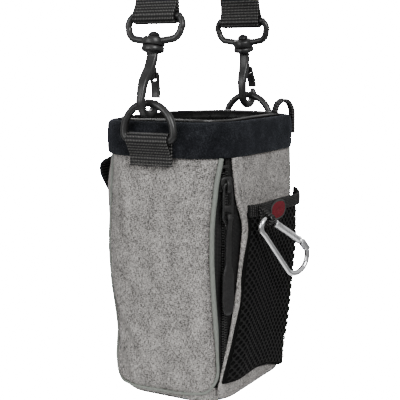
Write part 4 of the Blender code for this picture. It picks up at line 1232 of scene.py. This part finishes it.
def make_tapes():
    heights = np.linspace(10 * MM, BAND_Z + 6 * MM, 50)
    for name, start, end in (("left", lambda z: np.minimum(front_seam(-1, z), ZIP_S - 2 * MM),
                              lambda z: ZIP_S - 0.6 * MM + 0 * z),
                             ("right", lambda z: ZIP_S + 0.6 * MM + 0 * z,
                              lambda z: np.maximum(fold_edge(z) + 3.4 * MM, ZIP_S + 2.2 * MM))):
        share = np.linspace(0, 1, 9)[:, None]
        s = start(heights)[None, :] * (1 - share) + end(heights)[None, :] * share
        z = np.broadcast_to(heights, s.shape)
        dip = -0.75 * MM + 0.35 * MM * np.sin(math.pi * share) * np.sin(z / (9 * MM))
        tape = cloth("zip_tape_visual_" + name, s, z, dip, WEB_TAPE, 0.7 * MM)
        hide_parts("zip_tape_" + name)


def zip_frame(z):
    """Matrix at the zip's line: X across it, Y into the pouch and Z up along it."""
    low = Vector(wall(ZIP_S, ZIP_LOW, 0.0))
    high = Vector(wall(ZIP_S, ZIP_HIGH, 0.0))
    up = (high - low).normalized()
    normal = Vector(outline(ZIP_S)[1])
    across = up.cross(normal).normalized()
    into = up.cross(across)
    at = low + (high - low) * ((z - ZIP_LOW) / (ZIP_HIGH - ZIP_LOW))
    return Matrix.Translation(at) @ Matrix((across, into, up)).transposed().to_4x4()


def make_coils():
    """Teeth of both coils, each a small loop lying across the zip's line."""
    count = int((ZIP_HIGH - ZIP_LOW - 7 * MM) / COIL_PITCH)
    for side, word in SIDES:
        bm = bmesh.new()
        for i in range(count):
            z = 3.4 * MM + (i + (0.5 if side > 0 else 0)) * COIL_PITCH
            tooth = rounded_box((-0.95 * MM, -COIL_OUT - 1.15 * MM, z - 0.36 * MM),
                                (0.95 * MM, -COIL_OUT - 0.05 * MM, z + 0.36 * MM), 0.3 * MM)
            shift = side * 0.72 * MM
            for v in tooth.verts:
                v.co.x += shift
            scratch = mesh_of("tooth", tooth)
            bm.from_mesh(scratch)
            bpy.data.meshes.remove(scratch)
        bm.transform(zip_frame(ZIP_LOW))
        coil = link("zip_coil_visual_" + word, mesh_of("coil", bm), PLASTIC, "pouch")
        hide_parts("zip_coil_" + word)
    for node, z in (("zip_stop_bottom", ZIP_LOW - 1 * MM), ("zip_stop_top", ZIP_HIGH - 2.6 * MM)):
        bm = rounded_box((-2.2 * MM, -COIL_OUT - 1.2 * MM, 0), (2.2 * MM, -COIL_OUT, 1.8 * MM), 0.4 * MM, 3)
        bm.transform(zip_frame(z))
        stop = link(node + "_visual", mesh_of(node, bm), PLASTIC, "pouch")
        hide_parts(node)


def make_slider():
    top = -COIL_OUT - 1.2 * MM - GAP
    at = zip_frame(SLIDER_Z)

    def moulding(name, path, section, body, flat=(1, 0, 0), closed=False):
        return sweep(name, path, section, PLASTIC, body, flat, closed=closed, matrix=at)

    half_l, half_w = 4.25 * MM, 3.3 * MM
    rows = []
    for k in np.linspace(0, 1, 26):
        z = -half_l + 2 * half_l * k
        wide = half_w * (0.66 + 0.34 * smooth((k - 0.1) / 0.5)) * min(1.0, 0.72 + 1.8 * min(k, 1 - k))
        section = slab(2 * wide, 1.3 * MM * min(1.0, 0.7 + 3 * min(k, 1 - k)), 0.45 * MM, 3)
        place = [section[:, 0], section[:, 1] + top - 0.65 * MM, np.full(len(section), z)]
        rows.append(np.stack(place, -1))
    plate = grid("plate", placed(np.array(rows), at), PLASTIC, "slider", wrap_v=True, caps=True, sharp=60)
    arch = spline([(0, top - back * MM, z * MM) for back, z in
                   ((0.6, 3.2), (2.7, 2.7), (3.6, 1.0), (3.6, -1.4), (2.9, -3.0), (0.6, -3.6))], 0.35 * MM)
    bridge = moulding("bridge", arch, slab(0.9 * MM, 2.1 * MM, 0.35 * MM), "slider")
    flanges = []
    for side in (-1, 1):
        line = [(side * 2.9 * MM, top + 0.55 * MM, z) for z in np.linspace(-3.4 * MM, 3.6 * MM, 8)]
        flanges.append(moulding("flange", line, slab(0.9 * MM, 1.5 * MM, 0.3 * MM), "slider", (1, 0, 0.01)))
    slider = joined("zip_slider_visual", [plate, bridge, *flanges])
    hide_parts("zip_slider")

    tab_y = top - 2.1 * MM
    rim = [*arc((0, -1.3 * MM), 2.4 * MM, 150, 30, 8), (2.5 * MM, -6 * MM), (2.5 * MM, -12.5 * MM),
           *arc((0, -16.5 * MM), 2.7 * MM, 20, -200, 18), (-2.5 * MM, -12.5 * MM), (-2.5 * MM, -6 * MM)]
    closed = np.array([(x, tab_y, z) for x, z in rim + rim[:1]])
    path = even(closed, 0.6 * MM)[:-1]
    loop = moulding("tab", path, slab(1.25 * MM, 1.2 * MM, 0.45 * MM), "tab", (0, 1, 0), closed=True)
    web = rounded_box((-2.5 * MM, tab_y - 0.5 * MM, -13.6 * MM), (2.5 * MM, tab_y + 0.5 * MM, -10.2 * MM),
                      0.3 * MM)
    web.transform(at)
    tab = joined("zip_tab_visual", [loop, link("web", mesh_of("web", web), PLASTIC, "tab")])
    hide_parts("zip_tab")

    grip_points = [(0, tab_y - out * MM, z * MM) for out, z in
                   ((1.9, -14.6), (2.3, -17.8), (1.6, -21.5), (1.0, -26), (0.6, -42), (0.6, -55), (0.6, -68))]
    path = spline(grip_points, 0.45 * MM)
    depth = path[:, 2] / MM
    widths = np.interp(depth, [-68, -67, -65, -60, -47, -44.5, -41, -27, -22, -14],
                       [2.4, 4.6, 6.0, 6.7, 6.2, 5.2, 3.3, 2.9, 2.4, 2.2]) * MM
    thick = np.interp(depth, [-68, -66.5, -60, -46, -40, -22, -14], [0.9, 1.5, 1.7, 1.8, 1.5, 1.5, 1.3]) * MM
    ridge = 0.16 * MM * (np.sin(2 * math.pi * depth / 1.8) > 0.1) * ((depth < -48) & (depth > -64))
    grip = moulding("grip", path, lambda i: slab(thick[i] + ridge[i], widths[i], 0.55 * MM), "puller")
    back = spline([(0, tab_y - 1.9 * MM, -14.9 * MM), (0, tab_y + 0.6 * MM, -15.2 * MM),
                   (0, tab_y + 1.3 * MM, -17 * MM), (0, tab_y + 1.1 * MM, -20.5 * MM),
                   (0, tab_y - 1.0 * MM, -23.2 * MM)], 0.4 * MM)
    ring = moulding("loop", back, slab(0.9 * MM, 2.0 * MM, 0.35 * MM), "puller")
    puller = joined("zip_puller_visual", [grip, ring])
    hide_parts("zip_puller")


# ------------------------------------------------------------------ net pocket
def pocket_left(z):
    """Place of the pocket's left edge, beside the folded edge."""
    return fold_edge(z) + welt_width(z)


def stand_off(s, z):
    """How far the pocket stands from the wall: nothing at its seams, most at its mouth."""
    left, right = pocket_left(z), POCKET_S1
    middle = (left + right) / 2
    across = np.minimum(1.0, 3.0 * (1 - np.abs(s - middle) / ((right - left) / 2)))
    across = np.sin(np.clip(across, 0, 1) * math.pi / 2)
    up = np.clip((z - POCKET_LOW) / (70 * MM), 0, 1)
    puff = np.where(z < 40 * MM, np.sin(np.clip((z - POCKET_LOW) / (34 * MM), 0, 1) * math.pi) * 0.12, 0)
    return 2.3 * MM + sag(s, z) + (POCKET_STANDOFF - 1.6 * MM) * across * (np.sin(up * math.pi / 2) + puff)


pocket_ripple = ripples(51, 7, (26 * MM, 60 * MM), (40 * MM, 110 * MM), 0.16 * MM)


def pocket_low(s):
    """Lower edge of the net, a little scalloped where it is sewn down."""
    share = np.clip((s - POCKET_S0) / (POCKET_S1 - POCKET_S0), 0, 1)
    return np.interp(share, [0, 0.2, 0.4, 0.6, 0.8, 1.0], [12.5, 13.0, 14.0, 11.5, 6.5, 3.6]) * MM


def pocket_point(share, z):
    """Wall place for a share across the pocket at the height z."""
    left = pocket_left(z)
    s = left + (POCKET_S1 - left) * share
    return s, stand_off(s, z) + pocket_ripple(s, z) * smooth((z - POCKET_LOW) / (20 * MM))


def make_pocket():
    """Net of diamond holes, and a near-black sheet behind it, painted shade of the pocket's inside that shows
    through the holes.
    """
    cell_w, cell_h, strand = 1.9 * MM, 4.4 * MM, 0.86 * MM
    columns = int(round(NET_WIDE / cell_w))
    high = POCKET_HIGH - 5 * MM
    rows = int(round(high / (cell_h / 2)))
    bm = bmesh.new()
    corner = {}

    def vert(i, j):
        if (i, j) not in corner:
            corner[i, j] = bm.verts.new((i / columns, j / rows, 0))
        return corner[i, j]

    for i in range(1, columns):
        for j in range(1, rows):
            if (i + j) % 2 == 0:
                bm.faces.new((vert(i - 1, j), vert(i, j - 1), vert(i + 1, j), vert(i, j + 1)))
    cells = bm.faces[:]
    for v in bm.verts:
        v.co.x *= NET_WIDE
        v.co.y *= high
    bmesh.ops.inset_individual(bm, faces=cells, thickness=strand, use_even_offset=True)
    bmesh.ops.delete(bm, geom=cells, context="FACES_ONLY")
    for v in bm.verts:
        share, up = 0.012 + 0.972 * v.co.x / NET_WIDE, v.co.y / high
        s0 = POCKET_S0 + share * (POCKET_S1 - POCKET_S0)
        low = float(pocket_low(np.array(s0)))
        z = low + up * (POCKET_HIGH + 1 * MM - low)
        s, out = pocket_point(share, np.array(z))
        v.co = Vector(wall(s, z, out))
    net = link("mesh_pocket_visual", mesh_of("net", bm), NET, "pouch")
    thicken(net, 0.55 * MM, 0)
    smooth_more(net)
    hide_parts("mesh_pocket")

    # near-black sheet just behind the net: painted shade of the pocket's inside, seen through the holes
    share = np.linspace(0, 1, 36)[:, None]
    up = np.linspace(0, 1, 44)[None, :]
    s0 = POCKET_S0 + share * (POCKET_S1 - POCKET_S0)
    low = pocket_low(s0) - 0.8 * MM
    z = low + up * (POCKET_HIGH + 2 * MM - low)
    s, out = pocket_point(np.broadcast_to(share, z.shape), z)
    cloth("pocket_shade_sheet", s, z, out - 0.65 * MM, POCKET_SHADE_SHEET, 0.3 * MM)


def make_binding():
    """Ribbed tape folded over the pocket's mouth, which curls up at its right end."""
    share = np.linspace(0, 1, 150)
    curl = smooth((share - 0.86) / 0.14)
    low, high = POCKET_HIGH - 0.6 * MM, BINDING_HIGH - 0.3 * MM
    mid_z = (low + high) / 2 + 2.2 * MM * curl
    half = (high - low) / 2
    s, out = pocket_point(share, np.full(share.shape, POCKET_HIGH))
    flare = out + 1.1 * MM * smooth((share - 0.75) / 0.25) * 0.6
    section = [(1.25, -1.0), (1.35, -0.5), (1.4, 0.0), (1.35, 0.5), (1.15, 0.85), (0.6, 1.0), (0.0, 1.02),
               (-0.35, 0.85), (-0.45, 0.4), (-0.45, 0.0), (-0.45, -0.9), (-0.1, -1.0), (0.6, -1.02)]
    rib = 0.10 * MM * np.sin(2 * math.pi * share * NET_WIDE / (1.5 * MM))
    rings = []
    for a, b in section:
        rings.append(wall(s, mid_z + b * half, flare + a * MM + rib * (1 if a > 0 else 0)))
    points = np.array(rings).transpose(1, 0, 2)
    band = grid("pocket_binding_visual", points, WEB_BAND, "pouch", wrap_v=True, caps=True)
    smooth_more(band)
    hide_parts("pocket_binding")


def make_label():
    """Plain oval patch of red cloth with an overlocked dark edge."""
    middle_s, middle_z = 5.75 * MM, BINDING_HIGH - 6 * MM
    half_s, half_z, out = 8.8 * MM, 4.9 * MM, POCKET_STANDOFF + 2.9 * MM
    turns = np.linspace(0, 2 * math.pi, 48, endpoint=False)
    lobes = [np.sign(part) * np.abs(part) ** 0.8 for part in (np.cos(turns), np.sin(turns))]
    rings = []
    uv_rings = []
    for k in (0.02, 0.3, 0.6, 0.85, 0.97, 1.0):
        dome = 0.35 * MM * (1 - k ** 4)
        s, z = middle_s + lobes[0] * half_s * k, middle_z + lobes[1] * half_z * k
        rings.append(wall(s, z, out - 0.35 * MM + dome))
        uv_rings.append(np.stack([s, z], -1))
    points, uv = (np.array(r).transpose(1, 0, 2) for r in (rings, uv_rings))
    label = grid("label_patch_visual", points, LABEL, "pouch", uv=np.concatenate([uv, uv[:1]]), wrap_u=True)
    tidy(label.data)
    thicken(label, 0.5 * MM)
    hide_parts("label_patch")
    edge = wall(middle_s + lobes[0] * half_s, middle_z + lobes[1] * half_z, out - 0.5 * MM)
    normal = tuple(outline(middle_s)[1])
    bulges = 0.5 * MM + 0.06 * MM * np.cos(np.arange(len(edge)) * math.pi)
    sweep("label_edge", edge, lambda i: circle(bulges[i], 8), THREAD_BLACK, "pouch", normal, closed=True)


# ------------------------------------------------------------------ carabiner
def carabiner_frame():
    """Matrix at the middle of the carabiner's small bow, with Z up its length."""
    yaw = Matrix.Rotation(-CARABINER_YAW, 4, "Z")
    tilt = Matrix.Rotation(-CARABINER_TILT, 4, "Y")
    x, y, z = CARABINER_AT
    return Matrix.Translation((x, y, z + BASE_Z)) @ yaw @ tilt


def gate_ends():
    """Upper end and pivot of the carabiner's gate, in its own frame."""
    lean = math.asin((BIG_R - SMALL_R) / CARABINER_L)
    high = np.array((SMALL_R * math.cos(lean - 0.1), 0, -SMALL_R * math.sin(lean) - 2 * MM))
    low = np.array((BIG_R * math.cos(lean), 0, -CARABINER_L - BIG_R * math.sin(lean) + 2.4 * MM))
    return high, low


FORK_OUT = 1.68 * MM            # middle of the fork's cheeks beside the gate


def make_carabiner():
    at = carabiner_frame()
    lean = math.degrees(math.asin((BIG_R - SMALL_R) / CARABINER_L))
    ends = arc((0, 0), SMALL_R, -lean - 5, 180 + lean, 24)
    foot = arc((0, -CARABINER_L), BIG_R, 180 + lean, 360 - lean - 14, 30)
    path = even(np.array([(x, 0, z) for x, z in [*ends, *foot]]), 0.8 * MM)
    shrink = np.interp(np.arange(len(path)), [0, 2, len(path) - 3, len(path) - 1], [0.7, 1.0, 1.0, 0.7])
    wire = sweep("carabiner_visual", path, lambda i: circle(CARABINER_WIRE_R * shrink[i], 20), STEEL,
                 "carabiner", (0, 1, 0), matrix=at)
    high, low = gate_ends()
    nose = path[-1]
    cheek = even(np.array([nose + (nose - low) * 0.2, low + (low - nose) * 0.28]), 0.6 * MM)
    fork = [sweep("fork", cheek + np.array((0, side * FORK_OUT, 0)), slab(2.6 * MM, 0.55 * MM, 0.2 * MM),
                  STEEL, "carabiner", (0, 1, 0), matrix=at) for side in (-1, 1)]
    wire = joined("carabiner_visual", [wire, *fork])
    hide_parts("carabiner_body")

    along = (high - low) / np.linalg.norm(high - low)
    length = np.linalg.norm(high - low)
    marks = [1.4, 2.2, 2.5, 3.0, 3.3, 3.6, 6.0, 12.0, 18.0, length / MM - 1.6, length / MM - 1.2,
             length / MM - 0.5, length / MM - 0.1]
    radii = [1.2, 1.25, 2.0, 2.2, 2.2, 1.95, 1.9, 1.9, 1.9, 1.95, 2.2, 2.2, 1.8]
    path = np.array([low + along * m * MM for m in marks])
    tube = sweep("sleeve", path, lambda i: circle(radii[i] * MM, 20), SATIN, "clip_gate", (0, 1, 0),
                 matrix=at, sharp=35)
    lug_profile = np.array([(1.0, -1.3), (1.7, -1.3), (1.9, -1.1), (1.9, 1.1), (1.7, 1.3), (1.0, 1.3),
                            (1.0, -1.3)]) * MM
    pin_place = at @ pin_at(tuple(low))
    lug = grid("lug", placed(turned(lug_profile, 28), pin_place), SATIN, "clip_gate", wrap_v=True, sharp=35)
    gate = joined("carabiner_gate_visual", [tube, lug])
    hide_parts("carabiner_gate")
    pin_profile = np.array([(0.01, -2.0), (0.5, -1.98), (0.65, -1.8), (0.65, 1.8), (0.5, 1.98),
                            (0.01, 2.0)]) * MM
    pin = lathe("carabiner_pin_visual", pin_profile, STEEL, "carabiner", pin_place)
    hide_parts("carabiner_pin")


def make_ribbon():
    """Small ribbon from the binding round the carabiner's wire."""
    out = POCKET_STANDOFF + GAP + 2 * POCKET_T + GAP
    y = -HALF_D * (1 - TAPER * (BAND_Z - (POCKET_HIGH + GAP)) / BAND_Z) - out
    x, wire_y, z = CARABINER_AT
    wire_z = z + SMALL_R
    r = CARABINER_WIRE_R + 1.8 * MM
    path = [(y - 0.35 * MM, BINDING_HIGH - 1.0 * MM), (y - 0.35 * MM, wire_z + r + 1.0 * MM),
            *arc((wire_y, wire_z), r, 30, -200, 10),
            (y - 1.45 * MM, wire_z + r + 1.6 * MM), (y - 1.45 * MM, BINDING_HIGH - 1.0 * MM)]
    line = spline([(x, a, b + BASE_Z) for a, b in path], 0.35 * MM)
    loop = ribbed("ribbon_loop_visual", line, 3.5 * MM, 0.7 * MM, WEB_BAND, "ribbon", across=(1, 0, 0),
                  rib=0.9 * MM, depth=0.05 * MM, columns=4)
    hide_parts("ribbon_loop")


# ------------------------------------------------------------------ webbing loops
def make_belt_loops():
    stand = GAP + TAB_T / 2 + 0.1 * MM
    for side, word in SIDES:
        feet = [wall(AROUND / 2, z, stand) for z in
                (BAND_Z - 1 * MM, BAND_Z - 3 * MM, 106 * MM, 101 * MM)]
        bulge = [(46.2 * MM, 125.0 * MM), (47.2 * MM, 119.5 * MM), (43.0 * MM, 111.5 * MM)]
        middle = [np.array((0, y, z + BASE_Z)) for y, z in bulge]
        line = np.array([*feet[:2], *middle, *feet[2:]])
        path = spline(line, RIB / 4) + np.array((side * 22 * MM, 0, 0))
        loop = ribbed("belt_loop_visual_" + word, path, 20 * MM, TAB_T, WEB, "pouch", across=(1, 0, 0))
        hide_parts("belt_loop_" + word)


def make_pull_loop():
    top = RIM_Z + 7.6 * MM
    outside = BAND_OUT + 2 * GAP + TAB_T / 2
    inside = -(WALL + 0.7 * MM + GAP + 3.6 * MM + TAB_T / 2)
    point, normal = outline(SEAM_FRONT - 2 * MM)
    across = (-normal[1], normal[0], 0)
    middle, wide, high = (outside + inside) / 2, (outside - inside) / 2, top - RIM_Z
    turns = [math.pi * i / 10 for i in range(1, 10)]
    arch = [(middle + wide * math.cos(t), RIM_Z + high * math.sin(t)) for t in turns]
    path = [(outside, 139 * MM), (outside, RIM_Z), *arch, (inside, RIM_Z), (inside, 141 * MM)]
    line = spline([tuple(point + normal * out + np.array((0, 0, z + BASE_Z))) for out, z in path], RIB / 4)
    loop = ribbed("pull_loop_visual", line, 9 * MM, 2.1 * MM, WEB_BAND, "pouch", across=across, columns=6)
    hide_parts("pull_loop")


# ------------------------------------------------------------------ sewing on the body
def sew_body(pieces, welt):
    side_tree = shown_tree(pieces["side_panel_left"], pieces["side_panel_right"])
    inset = 2.6 * MM
    heights = np.linspace(BAND_Z - 2 * MM, FOOT + U_HIGH, 60)
    routes = []
    for side in (-1, 1):
        for place, way in ((SEAM_FRONT, 1), (SEAM_BACK, -1)):
            edge = front_seam(side, heights) if place == SEAM_FRONT else side * place + 0 * heights
            routes.append((edge + side * way * inset, heights))
    sew_on("side_stitches", side_tree, routes)
    back_tree = shown_tree(pieces["back_panel"])
    routes = [(edge + 0 * heights, heights) for edge in (SEAM_BACK + inset, AROUND - SEAM_BACK - inset)]
    sew_on("back_stitches", back_tree, routes)
    front_tree = shown_tree(pieces["front_panel"], welt)
    upper = np.linspace(BAND_Z - 1.5 * MM, 107 * MM, 24)
    beside = fold_edge(upper) + welt_width(upper) * 0.45
    routes = [(beside, upper), (beside + np.linspace(0.8, 5.2, 24) * MM, upper)]
    sew_on("zip_stitches", front_tree, routes)


def finish_left_nodes():
    """A proper material for the one frame piece that stays as it is, the hidden stiffener board."""
    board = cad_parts["base_board"]
    for slot in board.material_slots:
        slot.material = PLASTIC[0]


# ------------------------------------------------------------------ everything
make_camera()
make_light()
make_floor()
make_strap()
for side, word in SIDES:
    make_eye(side, word)
    make_hook(side, word)
    make_ring(side, word)
    make_ring_tab(side, word)
panels = make_panels()
make_base()
make_piping()
make_rim()
make_lining()
make_tapes()
make_coils()
make_slider()
zip_welt = make_welt()
make_pocket()
make_binding()
make_label()
make_carabiner()
make_ribbon()
make_belt_loops()
make_pull_loop()
sew_body(panels, zip_welt)
finish_left_nodes()
